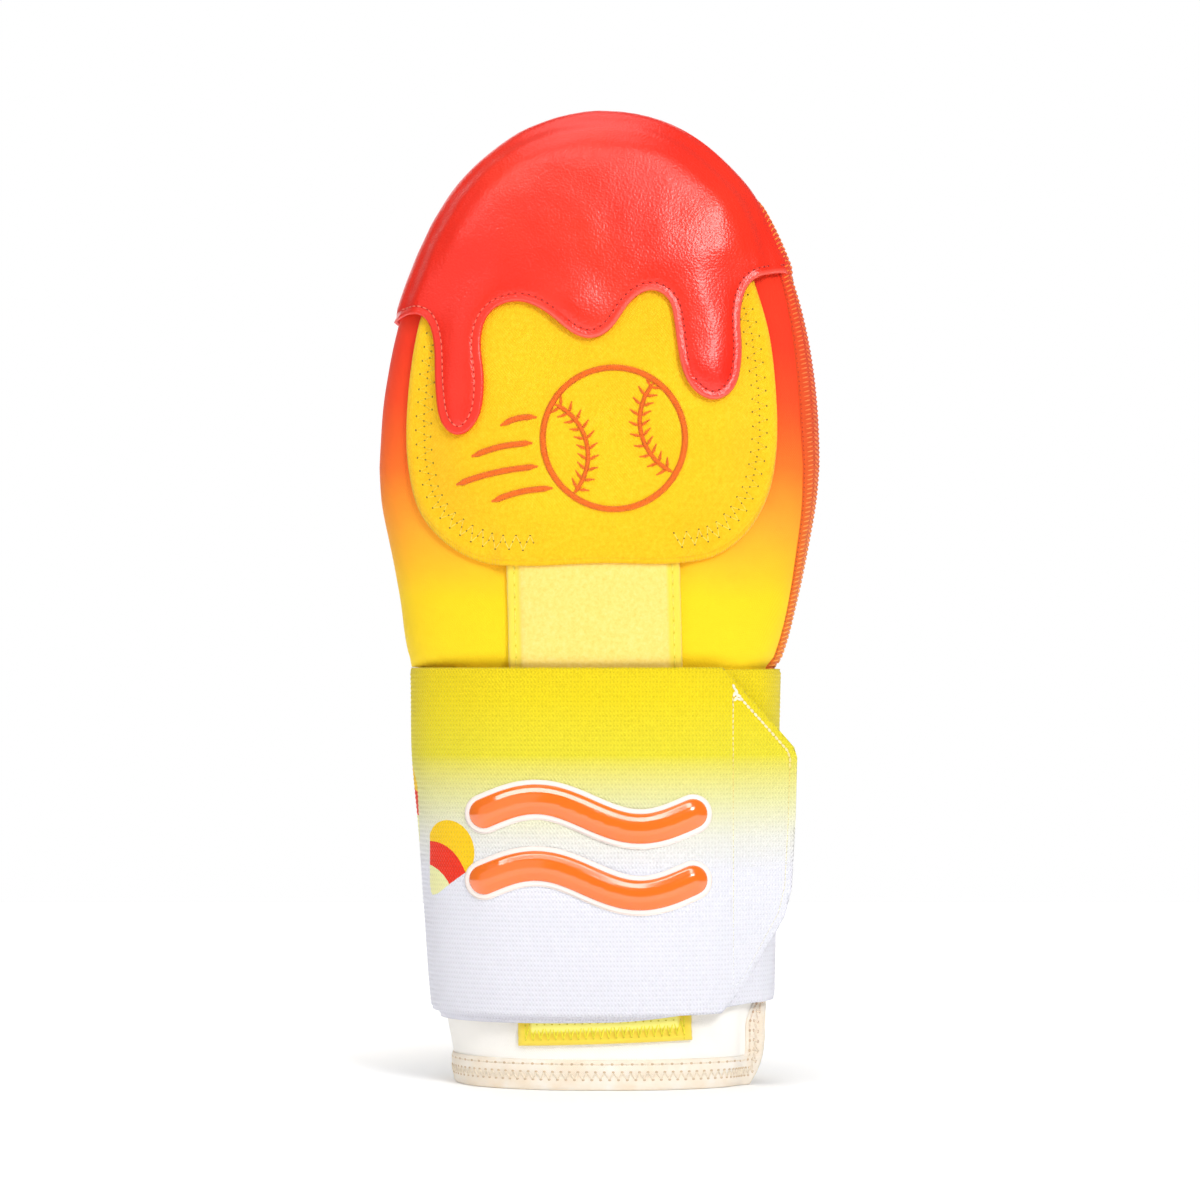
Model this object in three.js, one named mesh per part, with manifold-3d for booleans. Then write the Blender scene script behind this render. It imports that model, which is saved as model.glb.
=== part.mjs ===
// Baseball sliding mitt, standing on its open cuff. Millimetres, +Z up, the back of the hand faces -Y.
// The neoprene shell is a stack of rounded sections with a domed tip. Every other piece is a layer laid
// on that form: a solid between two distances from it, cut to the outline that the piece has from the
// front or the side.
import * as THREE from 'three';
import { mergeVertices } from 'three/addons/utils/BufferGeometryUtils.js';
import Module from 'manifold-3d';

const wasm = await Module();
wasm.setup();

// Walls and clearances
const GAP = 0.3;
const SHELL_WALL = 3.5;
const HEM_CLOTH = 0.7;
const CAP_SKIN = 1.3;
const PAD_EDGE = 2.0;
const PAD_FULL = 4.6;
const PAD_CROWN_START = 5;
const PAD_CROWN_END = 18;
const PATCH_THICK = 1.3;
const SEAM_THICK = 0.9;
const STRAP_THICK = 1.7;
const STRAP_CLEAR = 0.4;
const EMBLEM_BASE = 0.6;
const EMBLEM_RISE = 1.8;

// The shell's outer form: its left and right edges, the depth in front and behind, how square a section is
const SECTIONS = [
  { z: -8, left: -41.0, right: 44.2, front: 25.2, back: 25.2, square: 2.2 },
  { z: 0, left: -41.8, right: 45.6, front: 25.2, back: 25.2, square: 2.2 },
  { z: 9, left: -43.1, right: 47.6, front: 25.2, back: 25.2, square: 2.2 },
  { z: 20, left: -45.2, right: 48.1, front: 25.0, back: 25.0, square: 2.2 },
  { z: 48, left: -47.5, right: 48.6, front: 24.6, back: 24.8, square: 2.25 },
  { z: 75, left: -49.3, right: 49.1, front: 23.8, back: 24.4, square: 2.3 },
  { z: 100, left: -51.4, right: 49.6, front: 22.6, back: 23.8, square: 2.35 },
  { z: 121.2, left: -51.8, right: 50.0, front: 21.8, back: 23.4, square: 2.4 },
  { z: 124.5, left: -56.2, right: 52.2, front: 24.0, back: 25.4, square: 2.4 },
  { z: 141, left: -58.8, right: 56.8, front: 23.2, back: 25.2, square: 2.45 },
  { z: 159, left: -62.4, right: 60.6, front: 21.4, back: 24.2, square: 2.5 },
  { z: 172, left: -64.7, right: 62.8, front: 20.3, back: 23.2, square: 2.55 },
  { z: 180, left: -65.1, right: 63.5, front: 19.8, back: 22.6, square: 2.6 },
];

// The domed tip above the last section
const TIP_HEIGHT = 104.2;
const TIP_HEIGHT_POWER = 2.05;
const TIP_WIDTH_POWER = 2.2;
const TIP_DEPTH_POWER = 3.0;
const TIP_TAPER = 0.25;
const TIP_MIDDLE = 0.9;
const TIP_SQUARE = 2.8;

// How finely the form is faceted
const SIDES = 36;
const CURL_WEIGHT = 10;
const LOOP_SAMPLES = 360;
const PAD_STEPS = 56;
const DRIP_STEPS = 88;
const BACK_STEPS = 24;
const SEAM_STEPS = 12;
const WAVE_STEPS = 12;
const WAVE_END_STEPS = 4;
const TAB_STEPS = 3;

// Hem and entry slit at the right of the cuff
const HEM_WIDTH = 8.5;
const HEM_FOLD = 1.0;
const SLIT_Y = 1.0;
const SLIT_HALF = 1.6;
const SLIT_TOP = 84;
const SLIT_FLARE = 6;
const SLIT_FLARE_HEIGHT = 12;
const SLIT_STEPS = 4;
const RIGHT_HALF = 20;

// Outlines seen from the front, x and z
const PAD_OUTLINE = [
  [0, 276.5], [16, 274], [30, 264.5], [40.5, 250], [45, 234], [49.2, 219], [51.3, 200], [51.3, 186],
  [48.8, 173], [42.5, 162], [33.5, 155.3], [22, 153], [0, 153], [-22, 152.2], [-34, 153.3],
  [-44.5, 158.8], [-52.3, 168], [-55.8, 181], [-56.2, 197], [-53, 221], [-47.5, 237], [-41, 251],
  [-30, 265], [-15, 274],
];
const DRIP_EDGE = [
  [-62, 223], [-57, 224.6], [-51.5, 224.2], [-48.7, 217.4], [-47.9, 202], [-45.9, 191.3], [-40.8, 187.8],
  [-35.2, 192.8], [-33.5, 204], [-34.6, 217], [-31.7, 224.8], [-23.5, 227.6], [-16, 224.4], [-8, 217.8],
  [-2.4, 216], [3.6, 219.4], [8.1, 226.5], [14.2, 231], [19.8, 228.6], [21.8, 219], [23.6, 207.5],
  [27, 201.2], [33.2, 198.2], [38.8, 201.6], [41.2, 211], [41, 226], [44.2, 234.3], [52.3, 236.7],
  [62, 238],
];
const BACK_EDGE = [[62, 238], [50, 231], [25, 216], [0, 211], [-25, 212], [-48, 220], [-62, 223]];
const CAP_ZONE = { side: 62, top: 300 };
const PATCH_WIDTH = 50;
const PATCH_TOP = { z: 159, x: -2.2 };
const PATCH_FOOT = { z: 13.5, x: 1.5 };

// Overlocked band down the right side, front and back edges in y
const SEAM_EDGES = [
  { z: 93.6, front: -8.5, back: 1 },
  { z: 125, front: -9, back: 1 },
  { z: 190, front: -10, back: 1 },
  { z: 237, front: -7, back: 1 },
  { z: 261, front: -3, back: 0.5 },
];

// The strap's way round the wrist: turns counted from the right side by the back, and its two edges
const STRAP_WAY = [
  { turn: 0.455, lower: 19.0, upper: 120.7 },
  { turn: 0.75, lower: 19.8, upper: 120.7 },
  { turn: 0.93, lower: 24.2, upper: 120.9 },
  { turn: 1.25, lower: 24.6, upper: 121.2 },
  { turn: 1.5, lower: 21.4, upper: 121.4 },
  { turn: 1.75, lower: 21.6, upper: 121.4 },
  { turn: 2.0, lower: 22.8, upper: 121.4 },
];
const STRAP_CLIMB = { from: 1.395, to: 1.45 };
const STRAP_LAST = STRAP_WAY[STRAP_WAY.length - 1].turn;
const FRONT_TURN = 1.75;
const STRAP_END_X = 38;
const STRAP_ROWS = 4;
const CINCH_Z = 121.2;

// Hook tab at the strap's end, seen from the front
const TAB_OUTLINE = [
  [30, 121.4], [35.5, 121.4], [51.0, 104.4], [56.5, 98.2], [57.4, 95.2], [56.9, 77], [55.8, 57.5],
  [53.8, 49.5], [43.2, 31], [38.9, 26.4], [36.5, 22.8], [30, 22.8],
];
const TAB_LENGTH = 24;

// Two raised wavy bars on the front of the strap
const WAVE_LENGTH = 60;
const WAVE_SWING = 4.2;
const WAVE_HALF = 4.3;
const WAVE_RIM = 1.6;
const WAVES = [
  { name: 'upper', x: -3.4, z: 79.5 },
  { name: 'lower', x: -3.4, z: 60.5 },
];

// The middle of the whole mitt, which the origin stands under
const MIDDLE = { x: -0.2, y: -3.1 };

// Monotone cubic through one column of a table, so a section never overshoots its neighbours
function curveOf(rows, key, column) {
  const at = rows.map((row) => row[key]);
  const value = rows.map((row) => row[column]);
  const slope = at.slice(1).map((next, i) => (value[i + 1] - value[i]) / (next - at[i]));
  const tangent = value.map((_, i) => {
    if (i === 0) return slope[0];
    if (i === value.length - 1) return slope[i - 1];
    const product = slope[i - 1] * slope[i];
    return product <= 0 ? 0 : (2 * product) / (slope[i - 1] + slope[i]);
  });
  return (t) => {
    const clamped = THREE.MathUtils.clamp(t, at[0], at[at.length - 1]);
    let i = 0;
    while (i < at.length - 2 && clamped > at[i + 1]) i += 1;
    const span = at[i + 1] - at[i];
    const s = (clamped - at[i]) / span;
    const rise = value[i + 1] - value[i];
    const a = tangent[i] * span - rise;
    const b = -tangent[i + 1] * span + rise;
    return (1 - s) * value[i] + s * value[i + 1] + s * (1 - s) * ((1 - s) * a + s * b);
  };
}

const sectionCurve = {};
for (const column of ['left', 'right', 'front', 'back', 'square']) {
  sectionCurve[column] = curveOf(SECTIONS, 'z', column);
}
const DOME_Z = SECTIONS[SECTIONS.length - 1].z;

// A level is a height below the dome, or the dome's height plus an angle of up to 90 degrees in it
function sectionAt(level) {
  const z = Math.min(level, DOME_Z);
  const left = sectionCurve.left(z);
  const right = sectionCurve.right(z);
  const section = {
    z,
    middle: (left + right) / 2,
    half: (right - left) / 2,
    front: sectionCurve.front(z),
    back: sectionCurve.back(z),
    square: sectionCurve.square(z),
  };
  if (level <= DOME_Z) return section;
  const angle = THREE.MathUtils.degToRad(Math.min(level - DOME_Z, 90));
  const lift = Math.sin(angle) ** (2 / TIP_HEIGHT_POWER);
  const cos = Math.max(Math.cos(angle), 0);
  const depth = (1 - TIP_TAPER * lift) * cos ** (2 / TIP_DEPTH_POWER);
  section.z = DOME_Z + TIP_HEIGHT * lift;
  section.middle += (TIP_MIDDLE - section.middle) * lift;
  section.half *= cos ** (2 / TIP_WIDTH_POWER);
  section.front *= depth;
  section.back *= depth;
  section.square += (TIP_SQUARE - section.square) * lift;
  return section;
}

// One section as a dense loop, with a running weight that counts both length and turning
const loops = new Map();
function loopAt(level) {
  if (loops.has(level)) return loops.get(level);
  const section = sectionAt(level);
  const power = 2 / section.square;
  const points = [];
  for (let i = 0; i <= LOOP_SAMPLES; i += 1) {
    const angle = (2 * Math.PI * i) / LOOP_SAMPLES;
    const cos = Math.cos(angle);
    const sin = Math.sin(angle);
    const depth = sin < 0 ? section.front : section.back;
    const x = section.middle + section.half * Math.sign(cos) * Math.abs(cos) ** power;
    const y = depth * Math.sign(sin) * Math.abs(sin) ** power;
    points.push(new THREE.Vector2(x, y));
  }
  const weight = [0];
  for (let i = 1; i <= LOOP_SAMPLES; i += 1) {
    const step = points[i].clone().sub(points[i - 1]);
    const before = points[i - 1].clone().sub(points[i > 1 ? i - 2 : LOOP_SAMPLES - 1]);
    const turning = Math.abs(Math.atan2(before.cross(step), before.dot(step)));
    weight.push(weight[i - 1] + step.length() + CURL_WEIGHT * turning);
  }
  const loop = { z: section.z, points, weight };
  loops.set(level, loop);
  return loop;
}

// A point of the form: a turn of 0 is the right side, 0.25 the back, 0.5 the left side and 0.75 the front
function formPoint(level, turn) {
  const { z, points, weight } = loopAt(level);
  const target = (turn - Math.floor(turn)) * weight[LOOP_SAMPLES];
  let low = 0;
  let high = LOOP_SAMPLES;
  while (high - low > 1) {
    const mid = (low + high) >> 1;
    if (weight[mid] <= target) low = mid;
    else high = mid;
  }
  const span = weight[high] - weight[low];
  const s = span > 0 ? (target - weight[low]) / span : 0;
  const flat = points[low].clone().lerp(points[high], s);
  return new THREE.Vector3(flat.x, flat.y, z);
}

const NUDGE_TURN = 0.004;
const NUDGE_LEVEL = 0.4;
const TURN_EXACT = 1e-6;
function formNormal(level, turn) {
  if (level >= DOME_Z + 90) return new THREE.Vector3(0, 0, 1);
  const along = formPoint(level, turn + NUDGE_TURN).sub(formPoint(level, turn - NUDGE_TURN));
  const up = formPoint(level + NUDGE_LEVEL, turn).sub(formPoint(level - NUDGE_LEVEL, turn));
  return along.cross(up).normalize();
}

// Closed solid from a list of corner positions and triangles
function solidOf(positions, triangles) {
  const geometry = new THREE.BufferGeometry();
  geometry.setAttribute('position', new THREE.Float32BufferAttribute(positions, 3));
  geometry.setIndex(triangles);
  return solidFrom(geometry);
}

const MERGE_WITHIN = 1e-4;
function solidFrom(geometry) {
  const bare = geometry.clone();
  bare.deleteAttribute('normal');
  bare.deleteAttribute('uv');
  const merged = mergeVertices(bare, MERGE_WITHIN);
  const index = Array.from(merged.index.array);
  const kept = [];
  for (let i = 0; i < index.length; i += 3) {
    const [a, b, c] = index.slice(i, i + 3);
    if (a !== b && b !== c && c !== a) kept.push(a, b, c);
  }
  const mesh = new wasm.Mesh({
    numProp: 3,
    vertProperties: new Float32Array(merged.attributes.position.array),
    triVerts: new Uint32Array(kept),
  });
  return new wasm.Manifold(mesh);
}

// A wall between an outer and an inner grid of points. A closed loop of columns has no side edges
function wallOf(outer, inner, closedLoop) {
  const rows = outer.length;
  const columns = outer[0].length;
  const positions = [];
  const triangles = [];
  for (const side of [outer, inner]) {
    for (const row of side) {
      for (const point of row) positions.push(point.x, point.y, point.z);
    }
  }
  const index = (side, row, column) => side * rows * columns + row * columns + (column % columns);
  const quad = (a, b, c, d) => triangles.push(a, b, c, a, c, d);
  const spans = closedLoop ? columns : columns - 1;
  for (let c = 0; c < spans; c += 1) {
    for (let r = 0; r < rows - 1; r += 1) {
      quad(index(0, r, c), index(0, r, c + 1), index(0, r + 1, c + 1), index(0, r + 1, c));
      quad(index(1, r, c), index(1, r + 1, c), index(1, r + 1, c + 1), index(1, r, c + 1));
    }
    const top = rows - 1;
    quad(index(1, 0, c), index(1, 0, c + 1), index(0, 0, c + 1), index(0, 0, c));
    quad(index(0, top, c), index(0, top, c + 1), index(1, top, c + 1), index(1, top, c));
  }
  if (!closedLoop) {
    const end = columns - 1;
    for (let r = 0; r < rows - 1; r += 1) {
      quad(index(0, r, 0), index(0, r + 1, 0), index(1, r + 1, 0), index(1, r, 0));
      quad(index(0, r, end), index(1, r, end), index(1, r + 1, end), index(0, r + 1, end));
    }
  }
  return solidOf(positions, triangles);
}

// A layer of the whole form between two distances from it, each a function of the form's point
function layer(levels, outer, inner) {
  const rings = (distance) => levels.map((level) => {
    const ring = [];
    for (let i = 0; i < SIDES; i += 1) {
      const point = formPoint(level, i / SIDES);
      const normal = formNormal(level, i / SIDES);
      ring.push(point.clone().addScaledVector(normal, distance(point)));
    }
    return ring;
  });
  return wallOf(rings(outer), rings(inner), true);
}

function prismAlongY(points, near, far) {
  const shape = new THREE.Shape(points.map(([x, z]) => new THREE.Vector2(x, z)));
  const geometry = new THREE.ExtrudeGeometry(shape, { depth: far - near, bevelEnabled: false });
  geometry.rotateX(Math.PI / 2);
  geometry.translate(0, far, 0);
  return solidFrom(geometry);
}

function prismAlongX(points, near, far) {
  const shape = new THREE.Shape(points.map(([y, z]) => new THREE.Vector2(y, z)));
  const geometry = new THREE.ExtrudeGeometry(shape, { depth: far - near, bevelEnabled: false });
  const turned = new THREE.Matrix4().makeBasis(
    new THREE.Vector3(0, 1, 0),
    new THREE.Vector3(0, 0, 1),
    new THREE.Vector3(1, 0, 0),
  );
  geometry.applyMatrix4(turned);
  geometry.translate(near, 0, 0);
  return solidFrom(geometry);
}

// Everything between two heights
const REACH = 90;
function slabBetween(low, high) {
  return prismAlongY([[-REACH, low], [REACH, low], [REACH, high], [-REACH, high]], -REACH, REACH);
}

// Smooth outlines through a few points
function smoothThrough(points, closed, count) {
  const stops = points.map(([x, z]) => new THREE.Vector3(x, z, 0));
  const curve = new THREE.CatmullRomCurve3(stops, closed, 'centripetal');
  const spaced = curve.getSpacedPoints(count).map((p) => [p.x, p.y]);
  return closed ? spaced.slice(0, -1) : spaced;
}

function grown(points, distance) {
  const turn = THREE.ShapeUtils.area(points.map(([x, z]) => ({ x, y: z }))) > 0 ? 1 : -1;
  return points.map(([x, z], i) => {
    const before = points[(i + points.length - 1) % points.length];
    const after = points[(i + 1) % points.length];
    const run = new THREE.Vector2(after[0] - before[0], after[1] - before[1]).normalize();
    return [x + turn * run.y * distance, z - turn * run.x * distance];
  });
}

// Distance inside an outline, negative outside it
function depthInside(points, x, z) {
  let nearest = Infinity;
  let inside = false;
  for (let i = 0; i < points.length; i += 1) {
    const [ax, az] = points[i];
    const [bx, bz] = points[(i + 1) % points.length];
    const length = (bx - ax) ** 2 + (bz - az) ** 2;
    const s = THREE.MathUtils.clamp(((x - ax) * (bx - ax) + (z - az) * (bz - az)) / length, 0, 1);
    nearest = Math.min(nearest, Math.hypot(x - ax - s * (bx - ax), z - az - s * (bz - az)));
    const crosses = (az > z) !== (bz > z) && x < ax + ((z - az) * (bx - ax)) / (bz - az);
    if (crosses) inside = !inside;
  }
  return inside ? nearest : -nearest;
}

// Levels that the pieces use: heights up to the dome, then angles in it
const CUFF_LEVELS = [-7, 9, 20];
const WRIST_LEVELS = [48, 75, 100, 121.2, 122.9, 125.5];
const HAND_LEVELS = [134, 146, 159, 170, 180];
const domeLevels = (from, step) => {
  const levels = [];
  for (let angle = from; angle < 90; angle += step) levels.push(DOME_Z + angle);
  levels.push(DOME_Z + 90);
  return levels;
};
const SHELL_LEVELS = [...CUFF_LEVELS, ...WRIST_LEVELS, ...HAND_LEVELS, ...domeLevels(10, 10)];
const COVER_LEVELS = [146, 152, 159, 169, 180, ...domeLevels(7.5, 7.5)];

// Entry slit, seen from the side. Growing it gives the cut edge of the shell and the width of its hem
function slitOutline(grow) {
  const half = SLIT_HALF + grow;
  const foot = half + SLIT_FLARE;
  const shape = new THREE.Shape();
  shape.moveTo(-foot, -10);
  shape.lineTo(-foot, 0);
  shape.quadraticCurveTo(-half, 0, -half, SLIT_FLARE_HEIGHT);
  shape.lineTo(-half, SLIT_TOP - SLIT_HALF);
  shape.absarc(0, SLIT_TOP - SLIT_HALF, half, Math.PI, 0, true);
  shape.lineTo(half, SLIT_FLARE_HEIGHT);
  shape.quadraticCurveTo(half, 0, foot, 0);
  shape.lineTo(foot, -10);
  return shape.getPoints(SLIT_STEPS).map((p) => [p.x + SLIT_Y, p.y]);
}
const slit = (grow) => prismAlongX(slitOutline(grow), RIGHT_HALF, REACH);

function makeShell() {
  return layer(SHELL_LEVELS, () => 0, () => -SHELL_WALL)
    .intersect(slabBetween(HEM_FOLD + GAP, 2 * DOME_Z))
    .subtract(slit(HEM_FOLD + GAP));
}

function makeHem() {
  const levels = [...CUFF_LEVELS, ...WRIST_LEVELS];
  const outside = GAP + HEM_CLOTH;
  const cloth = layer(levels, () => outside, () => -SHELL_WALL - outside);
  const hemmed = slabBetween(0, HEM_WIDTH).add(slit(HEM_WIDTH).intersect(slabBetween(0, DOME_Z)));
  const inside = layer(levels, () => GAP, () => -SHELL_WALL - GAP)
    .intersect(slabBetween(HEM_FOLD, 2 * DOME_Z))
    .subtract(slit(HEM_FOLD));
  return cloth.intersect(hemmed).subtract(slit(0)).subtract(inside);
}

// The padded panel is thin at its stitched edge and swells towards its middle
const padOutline = smoothThrough(PAD_OUTLINE, true, PAD_STEPS);
function padHeight(point) {
  const depth = depthInside(padOutline, point.x, point.z);
  const crown = THREE.MathUtils.smoothstep(depth, PAD_CROWN_START, PAD_CROWN_END);
  return PAD_EDGE + (PAD_FULL - PAD_EDGE) * crown;
}

function patchOutline(grow) {
  const half = PATCH_WIDTH / 2 + grow;
  return [
    [PATCH_FOOT.x - half, PATCH_FOOT.z - grow],
    [PATCH_FOOT.x + half, PATCH_FOOT.z - grow],
    [PATCH_TOP.x + half, PATCH_TOP.z + grow],
    [PATCH_TOP.x - half, PATCH_TOP.z + grow],
  ];
}
const patchLevels = [...CUFF_LEVELS, ...WRIST_LEVELS, ...HAND_LEVELS.slice(0, 4)];
function patchSolid(grow) {
  return layer(patchLevels, () => GAP + PATCH_THICK + grow, () => GAP - grow)
    .intersect(prismAlongY(patchOutline(grow), -REACH, 0));
}

function makePad() {
  return layer(COVER_LEVELS, (point) => GAP + padHeight(point), () => GAP)
    .intersect(prismAlongY(padOutline, -REACH, 0))
    .subtract(patchSolid(GAP));
}

// The seam's band, front and back edges smoothed through its table
function seamOutline(grow) {
  const front = curveOf(SEAM_EDGES, 'z', 'front');
  const back = curveOf(SEAM_EDGES, 'z', 'back');
  const low = SEAM_EDGES[0].z;
  const high = SEAM_EDGES[SEAM_EDGES.length - 1].z;
  const heights = Array.from({ length: SEAM_STEPS + 1 }, (_, i) => low + ((high - low) * i) / SEAM_STEPS);
  const ends = heights.map((z, i) => z + (i === 0 ? -grow : 0) + (i === SEAM_STEPS ? grow : 0));
  return [
    ...heights.map((z, i) => [back(z) + grow, ends[i]]),
    ...heights.map((z, i) => [front(z) - grow, ends[i]]).reverse(),
  ];
}
const seamLevels = [75, ...WRIST_LEVELS.slice(2), ...HAND_LEVELS, ...domeLevels(10, 10).slice(0, 7)];
function makeSeam() {
  return layer(seamLevels, () => GAP + SEAM_THICK, () => GAP)
    .intersect(prismAlongX(seamOutline(0), RIGHT_HALF, REACH));
}

// The cap is stretched over the pad, so it bridges the step at the pad's edge
const CAP_BRIDGE_START = -10;
const CAP_BRIDGE_END = -3;
function capRise(point) {
  if (point.y >= 0) return 0;
  const depth = depthInside(padOutline, point.x, point.z);
  const over = THREE.MathUtils.smoothstep(depth, CAP_BRIDGE_START, CAP_BRIDGE_END);
  return over * (padHeight(point) + GAP);
}

function makeCap() {
  const { side, top } = CAP_ZONE;
  const front = [...smoothThrough(DRIP_EDGE, false, DRIP_STEPS), [side, top], [-side, top]];
  const back = [...smoothThrough(BACK_EDGE, false, BACK_STEPS), [-side, top], [side, top]];
  const zone = prismAlongY(front, -REACH, 0).add(prismAlongY(back, 0, REACH));
  const pad = layer(COVER_LEVELS, (point) => GAP + padHeight(point) + GAP, () => -GAP)
    .intersect(prismAlongY(grown(padOutline, GAP), -REACH, 0));
  return layer(COVER_LEVELS, (p) => GAP + capRise(p) + CAP_SKIN, (p) => GAP + capRise(p))
    .intersect(zone)
    .subtract(prismAlongX(seamOutline(GAP), RIGHT_HALF, REACH))
    .subtract(pad);
}

// The strap follows the cinched wrist. It rides over the loop patch, the hem and the seam
const strapLower = curveOf(STRAP_WAY, 'turn', 'lower');
const strapUpper = curveOf(STRAP_WAY, 'turn', 'upper');
const RIDE_SPREAD = { patch: 8, hem: 1.5 };
const RIDE_FADE = 4;
function strapRide(point) {
  const along = THREE.MathUtils.inverseLerp(PATCH_FOOT.z, PATCH_TOP.z, point.z);
  const middle = THREE.MathUtils.lerp(PATCH_FOOT.x, PATCH_TOP.x, along);
  const fade = (distance, edge) => 1 - THREE.MathUtils.smoothstep(distance, edge, edge + RIDE_FADE);
  const overPatch = fade(Math.abs(point.x - middle), PATCH_WIDTH / 2 + RIDE_SPREAD.patch);
  const overHem = fade(Math.abs(point.y - SLIT_Y), SLIT_HALF + HEM_WIDTH + RIDE_SPREAD.hem);
  const patch = point.y < 0 ? overPatch * (GAP + PATCH_THICK) : 0;
  const hem = point.x > 0 ? overHem * (GAP + SEAM_THICK) : 0;
  return STRAP_CLEAR + Math.max(patch, hem);
}

function strapClimb(turn) {
  return THREE.MathUtils.smoothstep(turn, STRAP_CLIMB.from, STRAP_CLIMB.to) * (STRAP_THICK + STRAP_CLEAR);
}

// The strap's inner face at a turn and height, and the way out of it
function strapFace(turn, z) {
  const level = Math.min(z, CINCH_Z);
  const point = formPoint(level, turn);
  const along = formPoint(level, turn + NUDGE_TURN).sub(formPoint(level, turn - NUDGE_TURN));
  const out = new THREE.Vector3(along.y, -along.x, 0).normalize();
  const face = point.addScaledVector(out, strapRide(point) + strapClimb(turn));
  face.z = z;
  return { face, out };
}

function strapEndTurn(z) {
  let low = FRONT_TURN;
  let high = STRAP_LAST;
  while (high - low > TURN_EXACT) {
    const mid = (low + high) / 2;
    if (strapFace(mid, z).face.x < STRAP_END_X) low = mid;
    else high = mid;
  }
  return low;
}

function makeStrap() {
  const start = STRAP_WAY[0].turn;
  const last = strapEndTurn(strapLower(STRAP_LAST)) - 0.5 / SIDES;
  const turns = [start];
  for (let i = Math.ceil(start * SIDES); i / SIDES < last; i += 1) {
    if (i / SIDES > start) turns.push(i / SIDES);
  }
  const rows = (lift) => Array.from({ length: STRAP_ROWS + 1 }, (_, r) => {
    const up = r / STRAP_ROWS;
    const row = turns.map((turn) => [turn, THREE.MathUtils.lerp(strapLower(turn), strapUpper(turn), up)]);
    const endZ = THREE.MathUtils.lerp(strapLower(STRAP_LAST), strapUpper(STRAP_LAST), up);
    row.push([strapEndTurn(endZ), endZ]);
    return row.map(([turn, z]) => {
      const { face, out } = strapFace(turn, z);
      return face.addScaledVector(out, lift);
    });
  });
  return wallOf(rows(STRAP_THICK), rows(0), false);
}

function makeTab() {
  const heights = Array.from({ length: STRAP_ROWS + 1 }, (_, r) => {
    return THREE.MathUtils.lerp(strapLower(STRAP_LAST), strapUpper(STRAP_LAST), r / STRAP_ROWS);
  });
  const rows = (lift) => heights.map((z) => {
    const turn = strapEndTurn(z);
    const { face, out } = strapFace(turn, z);
    const along = new THREE.Vector3(-out.y, out.x, 0);
    return Array.from({ length: TAB_STEPS + 1 }, (_, i) => {
      const reach = GAP + (TAB_LENGTH * i) / TAB_STEPS;
      return face.clone().addScaledVector(out, lift).addScaledVector(along, reach);
    });
  });
  return wallOf(rows(STRAP_THICK), rows(0), false).intersect(prismAlongY(TAB_OUTLINE, -REACH, REACH));
}

// A wavy bar with round ends, as an outline of a given half width round one wave
function waveOutline({ x, z }, half) {
  const line = Array.from({ length: WAVE_STEPS + 1 }, (_, i) => {
    const s = i / WAVE_STEPS;
    return new THREE.Vector2(x + WAVE_LENGTH * (s - 0.5), z + WAVE_SWING * Math.sin(2 * Math.PI * s));
  });
  const side = (i) => {
    const run = line[Math.min(i + 1, WAVE_STEPS)].clone().sub(line[Math.max(i - 1, 0)]).normalize();
    return new THREE.Vector2(-run.y, run.x);
  };
  const edge = (sign) => line.map((p, i) => p.clone().addScaledVector(side(i), sign * half));
  const cap = (i, from) => {
    const start = side(i).angle() + from;
    return Array.from({ length: WAVE_END_STEPS - 1 }, (_, k) => {
      const angle = start - (Math.PI * (k + 1)) / WAVE_END_STEPS;
      return line[i].clone().add(new THREE.Vector2(Math.cos(angle), Math.sin(angle)).multiplyScalar(half));
    });
  };
  const outline = [...edge(1), ...cap(WAVE_STEPS, 0), ...edge(-1).reverse(), ...cap(0, Math.PI)];
  return outline.map((p) => [p.x, p.y]);
}

// A layer on the outside of the strap's front, between two distances from it
function onStrap(levels, low, high) {
  const spread = SIDES / 4 - 2;
  const turns = Array.from({ length: 2 * spread + 1 }, (_, i) => FRONT_TURN + (i - spread) / SIDES);
  const rows = (lift) => levels.map((z) => turns.map((turn) => {
    const { face, out } = strapFace(turn, z);
    return face.addScaledVector(out, STRAP_THICK + lift);
  }));
  return wallOf(rows(high), rows(low), false);
}

function makeEmblem(wave, half, low, high) {
  const reach = WAVE_SWING + WAVE_HALF + WAVE_RIM + 1;
  const levels = [wave.z - reach, wave.z, wave.z + reach];
  return onStrap(levels, low, high).intersect(prismAlongY(waveOutline(wave, half), -REACH, 0));
}

// Finishes of the visible materials
const finish = (color, roughness) => new THREE.MeshStandardMaterial({ color, roughness, metalness: 0 });
const FINISHES = {
  neoprene: finish('#FF9A2E', 0.85),
  hemCloth: finish('#FFF6E4', 0.9),
  coatedLeather: finish('#F5361F', 0.38),
  brushedKnit: finish('#FFD829', 0.95),
  loopTape: finish('#FFF07A', 0.98),
  overlock: finish('#F4561F', 0.8),
  elastic: finish('#F3EFB8', 0.85),
  hookTape: finish('#F4F2DC', 0.7),
  emblemRim: finish('#FFF3EC', 0.4),
  emblemGloss: finish('#FF7A28', 0.18),
};

const group = new THREE.Group();
function addPiece(name, solid, material) {
  const { vertProperties, triVerts } = solid.getMesh();
  const geometry = new THREE.BufferGeometry();
  geometry.setAttribute('position', new THREE.BufferAttribute(new Float32Array(vertProperties), 3));
  geometry.setIndex(new THREE.BufferAttribute(new Uint32Array(triVerts), 1));
  geometry.computeVertexNormals();
  const mesh = new THREE.Mesh(geometry, material);
  mesh.name = name;
  group.add(mesh);
}

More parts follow.
